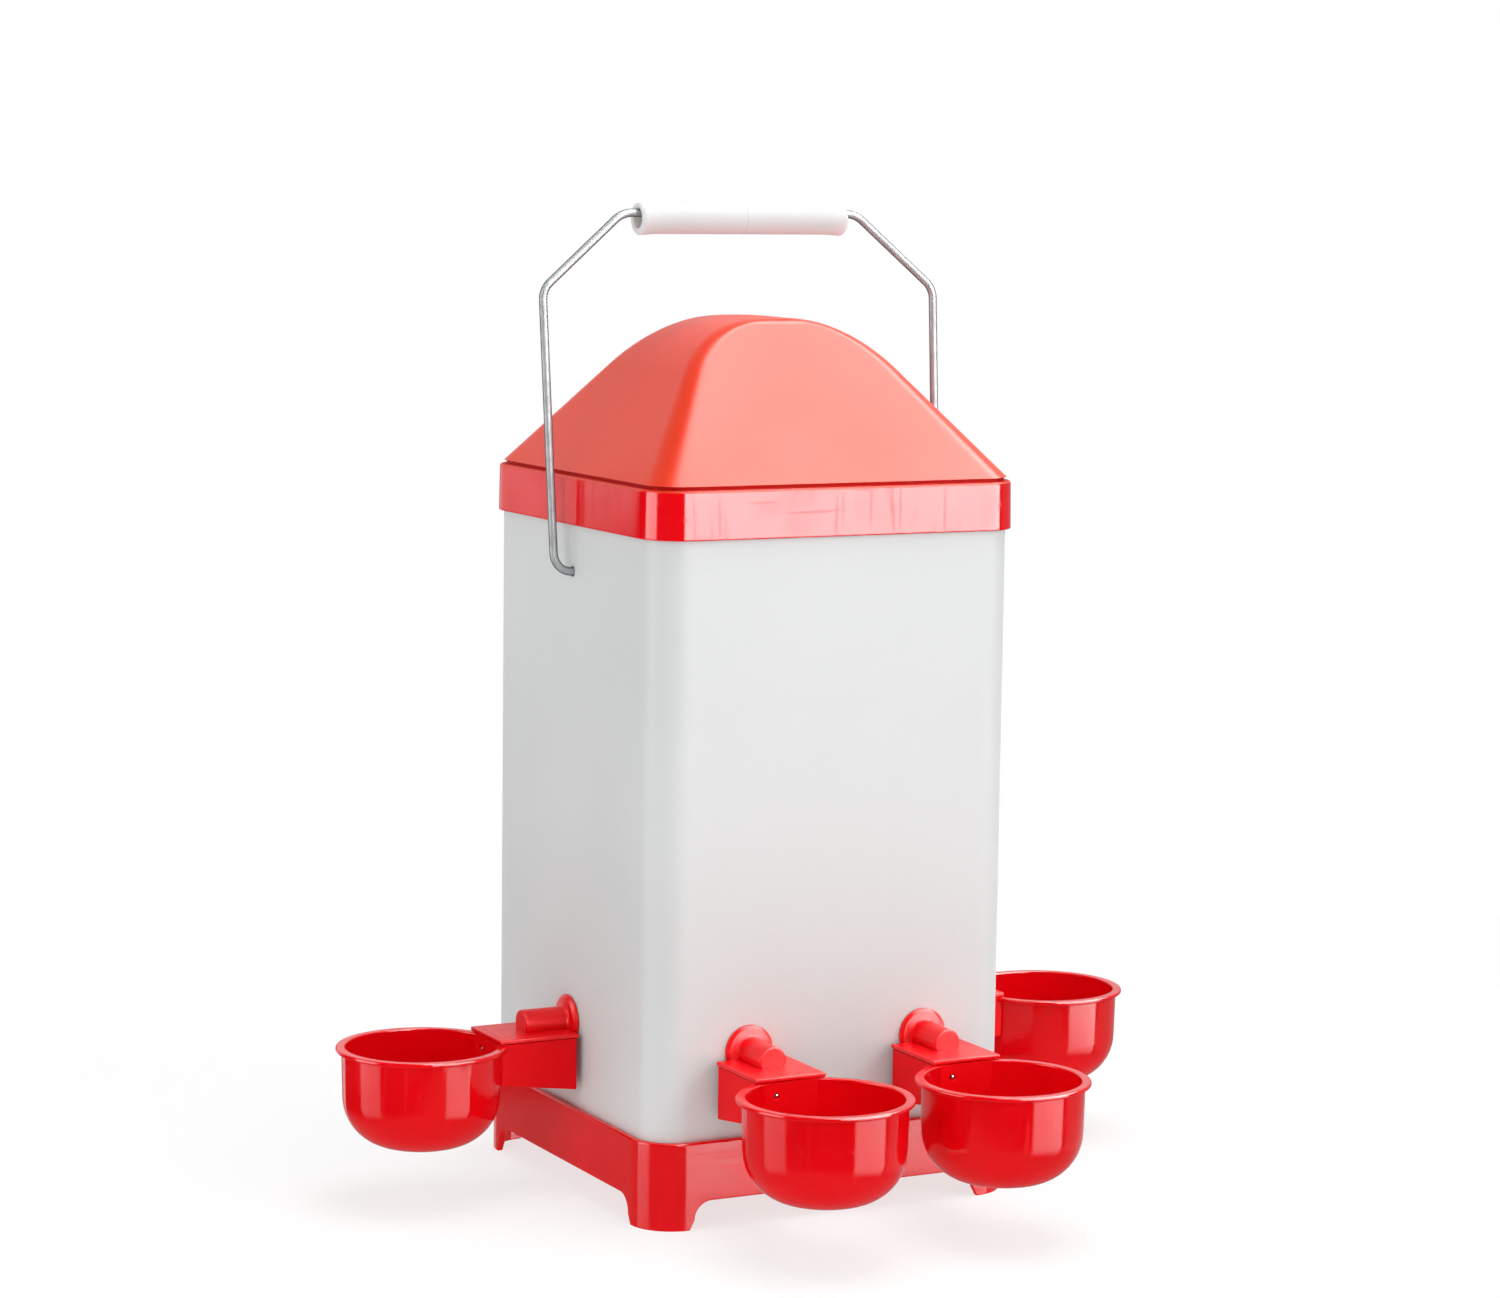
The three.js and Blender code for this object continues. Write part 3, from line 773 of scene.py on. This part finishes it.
def make_float():
    obj = rounded_box(
        "float_look",
        (FLOAT["left"], -FLOAT["front"], FLOAT["bottom"]),
        (FLOAT["right"], -FLOAT["back"], FLOAT["top"]),
        1.6,
    )
    front, back = -NOZZLE_OUT - ARM_HALF, -NOZZLE_OUT + ARM_HALF
    arm = rounded_box("arm", (PIN_X, front, 67.2), (11.4, back, 69.2), 0.3)
    post = rounded_box("post", (4, front, FLOAT["top"] - 1), (8, back, 67.7), 0.2)
    hub_corners = [
        (0.01, HUB_BACK, 0),
        (HUB_RADIUS, HUB_BACK, 0.4),
        (HUB_RADIUS, HUB_FRONT, 0.4),
        (0.01, HUB_FRONT, 0),
    ]
    hub_profile = round_corners(hub_corners, closed=False, steps=3)
    hub = along_y(revolve("hub", hub_profile, 40), PIN_Z, PIN_X)
    join_to(obj, arm, post, hub)
    bore = along_y(revolve("bore", [(1.05, 5), (1.05, 42)], 32), PIN_Z, PIN_X)
    seat = revolve("seat", [(2.4, 68.6), (2.4, 76)], 40)
    transform(seat, NOZZLE_AXIS)
    return smooth(cut_from(obj, bore, seat))


def make_float_pin():
    profile = round_corners(
        [(0.01, 3.9, 0), (1, 3.9, 0.25), (1, 43, 0.85), (0.01, 43, 0)], closed=False, steps=5
    )
    return smooth(along_y(revolve("float_pin_look", profile, 32), PIN_Z, PIN_X))


def make_valve_seal():
    low, high = (corner[2] for corner in box_mm("valve_seal_front_left"))
    profile = round_corners(
        [(0.01, low, 0), (2.1, low, 0.3), (2.1, high, 0.5), (0.01, high, 0)], closed=False, steps=4
    )
    obj = revolve("valve_seal_look", profile, 40)
    return smooth(transform(obj, NOZZLE_AXIS))


def make_gasket():
    near, far = -TUBE_WALL - GAP, -TUBE_WALL - GAP - GASKET_THICK
    corners = [
        (GASKET_INNER, far, 0.4),
        (GASKET_OUTER, far, 0.6),
        (GASKET_OUTER, near, 0.6),
        (GASKET_INNER, near, 0.4),
    ]
    profile = round_corners(corners, steps=4)
    return smooth(along_y(revolve("gasket_look", profile, 72, wrap=True), INLET_Z))


def make_lock_nut():
    near = TUBE_WALL + GASKET_THICK + 2 * GAP
    far = near + NUT_THICK
    corner = NUT_HALF_FLATS / math.cos(math.pi / 6)
    angles = np.arange(6) * math.pi / 3
    rings = [
        np.column_stack((corner * np.sin(angles), corner * np.cos(angles), np.full(6, -y)))
        for y in (far, near)
    ]
    obj = along_y(skin("lock_nut_look", rings), INLET_Z)
    outer, face, chamfer = 12.5, 10.4, 1.2
    dome = [
        (0.01, -far),
        (face, -far),
        (outer, -far + chamfer),
        (outer, -near - chamfer),
        (face, -near),
        (0.01, -near),
    ]
    combine(obj, along_y(revolve("dome", dome, 72), INLET_Z), "INTERSECT")
    narrow, wide = INLET_HOLE, INLET_HOLE + 1.6
    bore = [
        (0.01, -far - 1),
        (wide, -far - 1),
        (narrow, -far + 0.8),
        (narrow, -near - 0.8),
        (wide, -near + 1),
        (0.01, -near + 1),
    ]
    return smooth(cut_from(obj, along_y(revolve("bore", bore, 48), INLET_Z)))


def show_at_stations(prototype, kind, material, on_float=False):
    """The drinker piece at all four stations; the copies share one mesh."""
    for name in STATIONS:
        obj = prototype if name == "front_left" else prototype.copy()
        if obj is not prototype:
            bpy.context.scene.collection.objects.link(obj)
        obj.name = f"{kind}_{name}_look"
        matrix = Matrix.Translation((0, AXIS_Y, 0)) @ station_matrix(name)
        matrix.translation *= MM
        obj.matrix_world = matrix
        place(obj, f"{kind}_{name}", f"float_{name}" if on_float else "root", material)


# ------------------------------------------------------------------ materials


class Nodes:
    """A node tree, with short calls to add and join nodes."""

    def __init__(self, owner):
        owner.use_nodes = True
        self.tree = owner.node_tree
        self.tree.nodes.clear()

    def add(self, kind, **settings):
        node = self.tree.nodes.new(kind)
        for key, value in settings.items():
            setattr(node, key, value)
        return node

    def link(self, output, socket):
        self.tree.links.new(output, socket)

    def feed(self, socket, value):
        if isinstance(value, bpy.types.NodeSocket):
            self.link(value, socket)
        else:
            socket.default_value = value

    def vector(self, operation, first, second):
        node = self.add("ShaderNodeVectorMath", operation=operation)
        self.feed(node.inputs[0], first)
        self.feed(node.inputs[1], second)
        return node.outputs[0]

    def math(self, operation, first, second=0.0):
        node = self.add("ShaderNodeMath", operation=operation)
        self.feed(node.inputs[0], first)
        self.feed(node.inputs[1], second)
        return node.outputs[0]

    def remap(self, value, low, high, to_low=0.0, to_high=1.0):
        """Goes smoothly from one value to the other between low and high."""
        node = self.add("ShaderNodeMapRange", interpolation_type="SMOOTHSTEP")
        names = ("Value", "From Min", "From Max", "To Min", "To Max")
        for name, item in zip(names, (value, low, high, to_low, to_high)):
            self.feed(node.inputs[name], item)
        return node.outputs["Result"]


class Shader(Nodes):
    """A material with a principled surface. Masks are placed by the piece's own coordinates, local;
    noise uses coords, which add the piece's place so that copies differ."""

    def __init__(self, name):
        self.material = bpy.data.materials.new(name)
        super().__init__(self.material)
        output = self.add("ShaderNodeOutputMaterial")
        self.surface = self.add("ShaderNodeBsdfPrincipled")
        self.link(self.surface.outputs["BSDF"], output.inputs["Surface"])
        self.local = self.add("ShaderNodeTexCoord").outputs["Object"]
        info = self.add("ShaderNodeObjectInfo").outputs["Location"]
        self.coords = self.vector("ADD", self.local, info)

    def noise(self, scale, detail=2.0, roughness=0.5, stretch=(1, 1, 1), seed=0.0):
        moved = self.vector("MULTIPLY", self.coords, stretch)
        moved = self.vector("ADD", moved, (seed, seed, seed))
        node = self.add("ShaderNodeTexNoise")
        self.link(moved, node.inputs["Vector"])
        node.inputs["Scale"].default_value = scale
        node.inputs["Detail"].default_value = detail
        node.inputs["Roughness"].default_value = roughness
        return node.outputs["Fac"]

    def mix_color(self, factor, first, second):
        node = self.add("ShaderNodeMix", data_type="RGBA")
        self.feed(node.inputs["Factor"], factor)
        self.feed(node.inputs["A"], first)
        self.feed(node.inputs["B"], second)
        return next(s for s in node.outputs if s.type == "RGBA")

    def mix_value(self, factor, first, second):
        node = self.add("ShaderNodeMix", data_type="FLOAT")
        for name, value in (("Factor", factor), ("A", first), ("B", second)):
            self.feed(node.inputs[name], value)
        return node.outputs["Result"]

    def set(self, **values):
        """Sets the surface's inputs, whose names are written with underscores for spaces."""
        for key, value in values.items():
            self.feed(self.surface.inputs[key.replace("_", " ")], value)

    def bump(self, height, distance, strength=1.0, normal=None):
        node = self.add("ShaderNodeBump")
        node.inputs["Strength"].default_value = strength
        node.inputs["Distance"].default_value = distance
        self.link(height, node.inputs["Height"])
        if normal is not None:
            self.link(normal, node.inputs["Normal"])
        return node.outputs["Normal"]


def scratches(shader, density=0.62):
    """Fine handling scratches in two directions, 0 where there are none and 1 in a scratch."""
    one = shader.noise(420, 1.0, 0.4, (0.06, 1.0, 1.0), 3.1)
    two = shader.noise(380, 1.0, 0.4, (1.0, 1.0, 0.05), 8.7)
    both = shader.math("MAXIMUM", one, two)
    return shader.remap(both, density, density + 0.1)


RED_DEEP = (0.72, 0.0006, 0.003, 1)
RED_BRIGHT = (0.80, 0.0012, 0.006, 1)
# The satin roof's red, with green added so that its sheen comes out warm: a painted tint of its
# reflection.
RED_SATIN_PAINTED_SHEEN = (0.64, 0.034, 0.008, 1)
# Painted shade: a darker red for the groove at the foot of the lid's roof, where shade falls.
RED_PAINTED_SHADE = (0.42, 0.008, 0.006, 1)
RED_BOUNCE = (0.62, 0.10, 0.09, 1)  # the tint it throws on its neighbours
SATIN_ROUGHNESS = (0.285, 0.335)
MATT_ROUGHNESS = (0.36, 0.44)
MASK_SOFTNESS = 0.0003  # in metres, like every length inside a material


def glossy_red(name, polish=0.085, satin_above=None, matt_behind=None, painted_shade_step=None):
    """Injection-moulded red plastic: a mirror-like skin with slight waviness, a fine orange peel
    and light handling marks. It can be satin above one height, where its red carries a painted
    warm sheen, and matt behind one distance, with painted shade, a darker red with almost no
    reflection, between two given heights."""
    shader = Shader(name)
    cloud = shader.noise(14, 3.0, 0.55, seed=1.3)
    color = shader.mix_color(shader.remap(cloud, 0.3, 0.7), RED_DEEP, RED_BRIGHT)
    marks = scratches(shader)
    smudge = shader.remap(shader.noise(38, 4.0, 0.6, seed=5.2), 0.45, 0.75, 0.0, 0.07)
    rough = shader.math("ADD", polish, smudge)
    rough = shader.math("ADD", rough, shader.math("MULTIPLY", marks, 0.10))
    specular = 0.35
    split = shader.add("ShaderNodeSeparateXYZ")
    shader.link(shader.local, split.inputs[0])
    if satin_above is not None:
        edge = satin_above * MM
        satin = shader.remap(split.outputs["Z"], edge - MASK_SOFTNESS, edge + MASK_SOFTNESS)
        rough = shader.mix_value(satin, rough, shader.remap(cloud, 0.3, 0.7, *SATIN_ROUGHNESS))
        # Satin finish above the height; its red carries a painted warm sheen.
        color = shader.mix_color(satin, color, RED_SATIN_PAINTED_SHEEN)
        specular = shader.mix_value(satin, specular, 0.22)
    # Painted shade in the lid's groove between two given heights: a darker red with almost no
    # reflection.
    if painted_shade_step is not None:
        low, high = (height * MM for height in painted_shade_step)
        height = split.outputs["Z"]
        over = shader.remap(height, low - MASK_SOFTNESS, low + MASK_SOFTNESS)
        under = shader.remap(height, high - MASK_SOFTNESS, high + MASK_SOFTNESS, 1.0, 0.0)
        inside = shader.math("MULTIPLY", over, under)
        color = shader.mix_color(inside, color, RED_PAINTED_SHADE)
        specular = shader.mix_value(inside, specular, 0.03)
    if matt_behind is not None:
        edge = matt_behind * MM
        matt = shader.remap(split.outputs["Y"], edge - MASK_SOFTNESS, edge + MASK_SOFTNESS)
        rough = shader.mix_value(matt, rough, shader.remap(cloud, 0.3, 0.7, *MATT_ROUGHNESS))
        specular = shader.mix_value(matt, specular, 0.10)
    bounced = shader.add("ShaderNodeLightPath").outputs["Is Diffuse Ray"]
    color = shader.mix_color(bounced, color, RED_BOUNCE)
    fine = shader.noise(1500, 2.0, 0.5, seed=2.0)
    wave = shader.noise(45, 1.0, 0.4, seed=9.0)
    normal = shader.bump(wave, 0.00006, 0.5)
    normal = shader.bump(fine, 0.000012, 0.5, normal)
    shader.set(Base_Color=color, Roughness=rough, IOR=1.5, Normal=normal)
    shader.set(Specular_IOR_Level=specular)
    shader.set(Subsurface_Weight=0.08, Subsurface_Scale=0.0015)
    shader.set(Subsurface_Radius=(1.0, 0.15, 0.1))
    return shader.material


def pale_tank():
    """Extruded pale plastic: satin, with faint draw lines that run up the tube."""
    shader = Shader("tank_plastic")
    lines = shader.noise(900, 2.0, 0.5, (1.0, 1.0, 0.004), 4.0)
    cloud = shader.noise(9, 3.0, 0.5, seed=6.0)
    # The grey is a little lower in red than in green and blue: a painted cool tint that cancels the
    # pink light bounced onto the tank from the red parts.
    color = shader.mix_color(
        shader.remap(cloud, 0.3, 0.7), (0.635, 0.650, 0.650, 1), (0.665, 0.681, 0.681, 1)
    )
    marks = scratches(shader, 0.66)
    rough = shader.remap(cloud, 0.25, 0.75, 0.38, 0.46)
    rough = shader.math("ADD", rough, shader.math("MULTIPLY", marks, 0.08))
    normal = shader.bump(lines, 0.000012, 0.4)
    normal = shader.bump(shader.noise(1200, 2.0, 0.5, seed=7.0), 0.00001, 0.35, normal)
    shader.set(Base_Color=color, Roughness=rough, IOR=1.5, Specular_IOR_Level=0.12, Normal=normal)
    return shader.material


def milky_grip():
    """Milky polyethylene: soft, slightly see-through at the surface."""
    shader = Shader("grip_plastic")
    cloud = shader.noise(60, 3.0, 0.5, seed=2.2)
    color = shader.mix_color(cloud, (0.66, 0.67, 0.67, 1), (0.70, 0.71, 0.71, 1))
    rough = shader.remap(shader.noise(140, 3.0, 0.6), 0.3, 0.7, 0.30, 0.42)
    normal = shader.bump(shader.noise(900, 2.0, 0.5, seed=1.0), 0.00002, 0.4)
    shader.set(Base_Color=color, Roughness=rough, IOR=1.5, Specular_IOR_Level=0.06, Normal=normal)
    shader.set(Subsurface_Weight=0.75, Subsurface_Scale=0.008)
    shader.set(Subsurface_Radius=(1.0, 0.9, 0.8))
    return shader.material


def zinc_wire():
    """Drawn wire with a bright zinc coat and painted reflection: light along the middle and painted
    dark at its edges for the dark surround it mirrors there, with lengthwise die lines and duller
    patches."""
    shader = Shader("wire_steel")
    patch = shader.noise(130, 4.0, 0.6, seed=3.0)
    color = shader.mix_color(
        shader.remap(patch, 0.35, 0.7), (0.40, 0.41, 0.42, 1), (0.31, 0.32, 0.33, 1)
    )
    # Painted reflection: the colour darkens towards the wire's edges, standing in for the dark
    # surround it mirrors.
    facing = shader.add("ShaderNodeLayerWeight").outputs["Facing"]
    rim = shader.remap(facing, 0.15, 0.7)
    color = shader.mix_color(rim, color, (0.05, 0.05, 0.055, 1))
    lines = shader.noise(2600, 2.0, 0.5, (1.0, 1.0, 0.02), 5.0)
    rough = shader.remap(patch, 0.3, 0.7, 0.34, 0.46)
    normal = shader.bump(lines, 0.00001, 0.5)
    shader.set(Base_Color=color, Metallic=0.12, Roughness=rough, Normal=normal)
    shader.set(Specular_IOR_Level=0.10)
    return shader.material


def ground_steel():
    shader = Shader("pin_steel")
    lines = shader.noise(3000, 2.0, 0.5, (1.0, 0.03, 1.0), 5.0)
    rough = shader.remap(lines, 0.3, 0.7, 0.12, 0.26)
    shader.set(Base_Color=(0.28, 0.28, 0.29, 1), Metallic=1.0, Roughness=rough)
    shader.set(Normal=shader.bump(lines, 0.00001, 0.5))
    return shader.material


def soft_rubber():
    shader = Shader("rubber")
    bloom = shader.remap(shader.noise(90, 4.0, 0.6), 0.4, 0.75)
    color = shader.mix_color(bloom, (0.016, 0.016, 0.017, 1), (0.034, 0.034, 0.036, 1))
    rough = shader.remap(bloom, 0.0, 1.0, 0.55, 0.75)
    shader.set(Base_Color=color, Roughness=rough)
    shader.set(Normal=shader.bump(shader.noise(1800, 3.0, 0.6), 0.00003, 0.5))
    return shader.material


def matt_grey(name, low, high):
    shader = Shader(name)
    color = shader.mix_color(shader.noise(50, 3.0, 0.5), (*low, 1), (*high, 1))
    rough = shader.remap(shader.noise(200, 3.0, 0.6), 0.3, 0.7, 0.42, 0.58)
    shader.set(Base_Color=color, Roughness=rough)
    shader.set(Normal=shader.bump(shader.noise(1400, 3.0, 0.6), 0.00003, 0.5))
    return shader.material


# ------------------------------------------------------------------ floor, light and camera


def make_floor():
    """A pale floor that fades into the bright background with distance. Reflections look through
    it to the studio's soft boxes: mostly under the object, and wholly from a third of a metre."""
    half = 12000.0
    below = -0.02  # just under the feet
    turns = ((-1, -1), (1, -1), (1, 1), (-1, 1))
    corners = [(half * x, half * y, below) for x, y in turns]
    floor = new_object("floor", corners, [(0, 1, 2, 3)])
    shader = Shader("floor_paper")
    length = shader.add("ShaderNodeVectorMath", operation="LENGTH")
    shader.link(shader.coords, length.inputs[0])
    away = length.outputs["Value"]
    fade = shader.remap(away, 0.25, 0.9, 0.7, 1.0)
    grain = shader.noise(300, 3.0, 0.6)
    shader.set(Base_Color=shader.mix_color(grain, (0.90, 0.90, 0.90, 1), (0.92, 0.92, 0.92, 1)))
    shader.set(Roughness=0.8, Specular_IOR_Level=0.1)
    glow = shader.add("ShaderNodeEmission")
    blend = shader.add("ShaderNodeMixShader")
    shader.link(fade, blend.inputs[0])
    shader.link(shader.surface.outputs["BSDF"], blend.inputs[1])
    shader.link(glow.outputs["Emission"], blend.inputs[2])
    seen = shader.remap(away, 0.24, 0.34, 0.28, 0.0)
    clear = shader.add("ShaderNodeBsdfTransparent")
    glossy = shader.add("ShaderNodeLightPath").outputs["Is Glossy Ray"]
    mirror = shader.add("ShaderNodeMixShader")
    see_through = shader.math("SUBTRACT", 1.0, seen)
    shader.link(shader.mix_value(glossy, 0.0, see_through), mirror.inputs[0])
    shader.link(blend.outputs[0], mirror.inputs[1])
    shader.link(clear.outputs[0], mirror.inputs[2])
    output = next(n for n in shader.tree.nodes if n.type == "OUTPUT_MATERIAL")
    shader.link(mirror.outputs[0], output.inputs["Surface"])
    floor.data.materials.append(shader.material)


# How bright each part of the studio is in reflections, and the fill's brightness.
GLOW = {"front": 20.0, "side": 8.5, "above": 19.5, "behind": 1.05, "everywhere": 0.02}
FILL_STRENGTH = 0.52
OVERHEAD_AIM = (0.455, -0.19, 0.869)


def make_world():
    """White to the camera, a dimmer fill for diffuse light, and a studio only reflections see: a
    soft box in front to the right, one to the left, one overhead and pale walls behind. Azimuth
    is in degrees from -X towards -Y, and height in degrees above the horizon."""
    world = bpy.data.worlds.new("studio")
    bpy.context.scene.world = world
    studio = Nodes(world)
    add, calc, ramp = studio.add, studio.math, studio.remap

    def window(value, low, high, soft):
        rising = ramp(value, low - soft, low + soft)
        falling = ramp(value, high - soft, high + soft, 1.0, 0.0)
        return calc("MULTIPLY", rising, falling)

    direction = add("ShaderNodeTexCoord").outputs["Generated"]
    split = add("ShaderNodeSeparateXYZ")
    studio.link(direction, split.inputs[0])
    x, y, z = (split.outputs[i] for i in range(3))
    azimuth = calc("ARCTAN2", calc("MULTIPLY", y, -1.0), calc("MULTIPLY", x, -1.0))
    azimuth = calc("MULTIPLY", azimuth, 180 / math.pi)
    height = calc("MULTIPLY", calc("ARCSINE", z), 180 / math.pi)

    # The upright boxes dim in two steps below the horizon, and end 20 to 34 degrees below it.
    falloff = calc("MULTIPLY", ramp(height, -9.0, -3.0, 0.45, 1.0), ramp(height, -34.0, -20.0))
    falloff = calc("MULTIPLY", falloff, ramp(height, -15.2, -13.8, 0.45, 1.0))
    upright = calc("MULTIPLY", window(height, -60.0, 38.0, 4.0), falloff)

    # The front box is narrower from about 9 degrees below the horizon down.
    turned = calc("ADD", azimuth, ramp(height, -12.0, -6.0, 0.0, 22.0))
    near_edge, far_edge = ramp(turned, 102.0, 106.0), ramp(azimuth, 151.0, 155.0, 1.0, 0.0)
    front = calc("MULTIPLY", calc("MULTIPLY", near_edge, far_edge), upright)
    side = calc("MULTIPLY", window(azimuth, -31.0, 5.0, 2.0), upright)
    aim = add("ShaderNodeVectorMath", operation="DOT_PRODUCT")
    studio.link(direction, aim.inputs[0])
    studio.feed(aim.inputs[1], OVERHEAD_AIM)
    above = ramp(aim.outputs["Value"], 0.78, 0.90)

    # The left wall's edge slants below the horizon; past the middle of the back it is dimmer.
    slant = calc("MULTIPLY", calc("ADD", height, 4.8), 1.4)
    edge = calc("MINIMUM", calc("ADD", slant, -64.8), -60.0)
    left_wall = ramp(calc("SUBTRACT", azimuth, edge), -0.6, 0.6, 1.0, 0.0)
    beyond = ramp(azimuth, -95.0, -85.0, 1.0, 0.0)
    dimming = calc("MULTIPLY", beyond, ramp(height, 8.0, 12.0, 0.72, 0.15))
    left_wall = calc("MULTIPLY", left_wall, calc("SUBTRACT", 1.0, dimming))
    right_wall = ramp(azimuth, 158.0, 162.0, 0.0, 0.35)
    behind = calc("MULTIPLY", calc("ADD", left_wall, right_wall), ramp(height, -30.0, -18.0))

    total = GLOW["everywhere"]
    for name, part in (("front", front), ("side", side), ("above", above), ("behind", behind)):
        total = calc("ADD", calc("MULTIPLY", part, GLOW[name]), total)

    path = add("ShaderNodeLightPath")
    is_glossy, is_camera = path.outputs["Is Glossy Ray"], path.outputs["Is Camera Ray"]
    other = calc("SUBTRACT", 1.0, calc("MAXIMUM", is_glossy, is_camera))
    strength = calc("ADD", calc("MULTIPLY", is_glossy, total), is_camera)
    strength = calc("ADD", strength, calc("MULTIPLY", other, FILL_STRENGTH))
    background = add("ShaderNodeBackground")
    studio.feed(background.inputs["Color"], (1, 1, 1, 1))
    studio.link(strength, background.inputs["Strength"])
    studio.link(background.outputs[0], add("ShaderNodeOutputWorld").inputs["Surface"])


# Each soft box's place and width in metres, and its power in watts.
LIGHTS = {
    "key": ((1.4, -2.2, 1.4), 1.6, 22.5),
    "top": ((0.1, -0.2, 2.2), 1.2, 23),
    "fill": ((-2.0, -1.0, 0.9), 1.4, 12),
}
AIM_HEIGHT = 0.2  # in metres


def add_light(name, position, size, power):
    """A square soft box aimed at the middle of the tank. It isn't mirrored in the plastic: the
    world's soft boxes are."""
    data = bpy.data.lights.new(name, "AREA")
    data.shape = "RECTANGLE"
    data.size = data.size_y = size
    data.energy = power
    obj = bpy.data.objects.new(name, data)
    obj.location = position
    target = Vector((0, AXIS_Y * MM, AIM_HEIGHT))
    obj.rotation_euler = (target - obj.location).to_track_quat("-Z", "Y").to_euler()
    obj.visible_camera = False
    obj.visible_glossy = False
    bpy.context.scene.collection.objects.link(obj)


def make_lights():
    for name, (position, size, power) in LIGHTS.items():
        add_light(name, position, size, power)


CAMERA_PLACE = (-889.57, -1724.03, 496.11)
CAMERA_YAW, CAMERA_PITCH, CAMERA_ROLL = 27.312, 6.982, 0.767
CAMERA_LENS = 96


def make_camera():
    """The photograph's view: slightly above, turned to show the front and left faces."""
    yaw, pitch, roll = (math.radians(a) for a in (CAMERA_YAW, CAMERA_PITCH, CAMERA_ROLL))
    data = bpy.data.cameras.new("camera")
    data.sensor_width = 36
    data.lens = CAMERA_LENS
    data.clip_end = 60
    camera = bpy.data.objects.new("camera", data)
    position = (Vector(CAMERA_PLACE) + Vector((0, AXIS_Y, 0))) * MM
    turn = Euler((math.pi / 2 - pitch, 0, -yaw), "XYZ").to_matrix().to_4x4()
    camera.matrix_world = Matrix.Translation(position) @ turn @ Matrix.Rotation(roll, 4, "Z")
    bpy.context.scene.collection.objects.link(camera)
    bpy.context.scene.camera = camera
    bpy.context.scene.view_settings.view_transform = "Standard"


# ------------------------------------------------------------------ the whole scene


def build():
    red = glossy_red("red_plastic")
    inlet_red = glossy_red("inlet_plastic", polish=0.285)
    # The lid's groove, where shade is painted in between these two heights.
    painted_shade_step = (SKIRT_TOP - 0.4, SKIRT_TOP + GROOVE_HEIGHT - 0.1)
    lid_red = glossy_red("lid_plastic", satin_above=SKIRT_TOP - 1.2, painted_shade_step=painted_shade_step)
    cup_red = glossy_red("cup_plastic", matt_behind=-CHAMBER["front"] - 0.2)
    rubber, steel = soft_rubber(), ground_steel()
    float_grey = matt_grey("float_plastic", (0.10, 0.105, 0.11), (0.13, 0.135, 0.14))
    nut_grey = matt_grey("nut_plastic", (0.07, 0.075, 0.08), (0.10, 0.105, 0.11))
    place(make_tank_tube(), "tank_tube", "root", pale_tank())
    place(make_base_tray(), "base_tray", "root", red)
    place(make_base_seal(), "base_seal", "root", rubber)
    place(make_lid(), "lid", "lid", lid_red)
    place(make_bail_wire(), "bail_wire", "bail", zinc_wire())
    place(make_bail_grip(), "bail_grip", "grip", milky_grip())
    show_at_stations(make_cup(), "cup", cup_red)
    show_at_stations(make_inlet(), "inlet", inlet_red)
    show_at_stations(make_float(), "float", float_grey, on_float=True)
    show_at_stations(make_valve_seal(), "valve_seal", rubber, on_float=True)
    show_at_stations(make_float_pin(), "float_pin", steel)
    show_at_stations(make_gasket(), "gasket", rubber)
    show_at_stations(make_lock_nut(), "lock_nut", nut_grey)


build()
make_floor()
make_world()
make_lights()
make_camera()
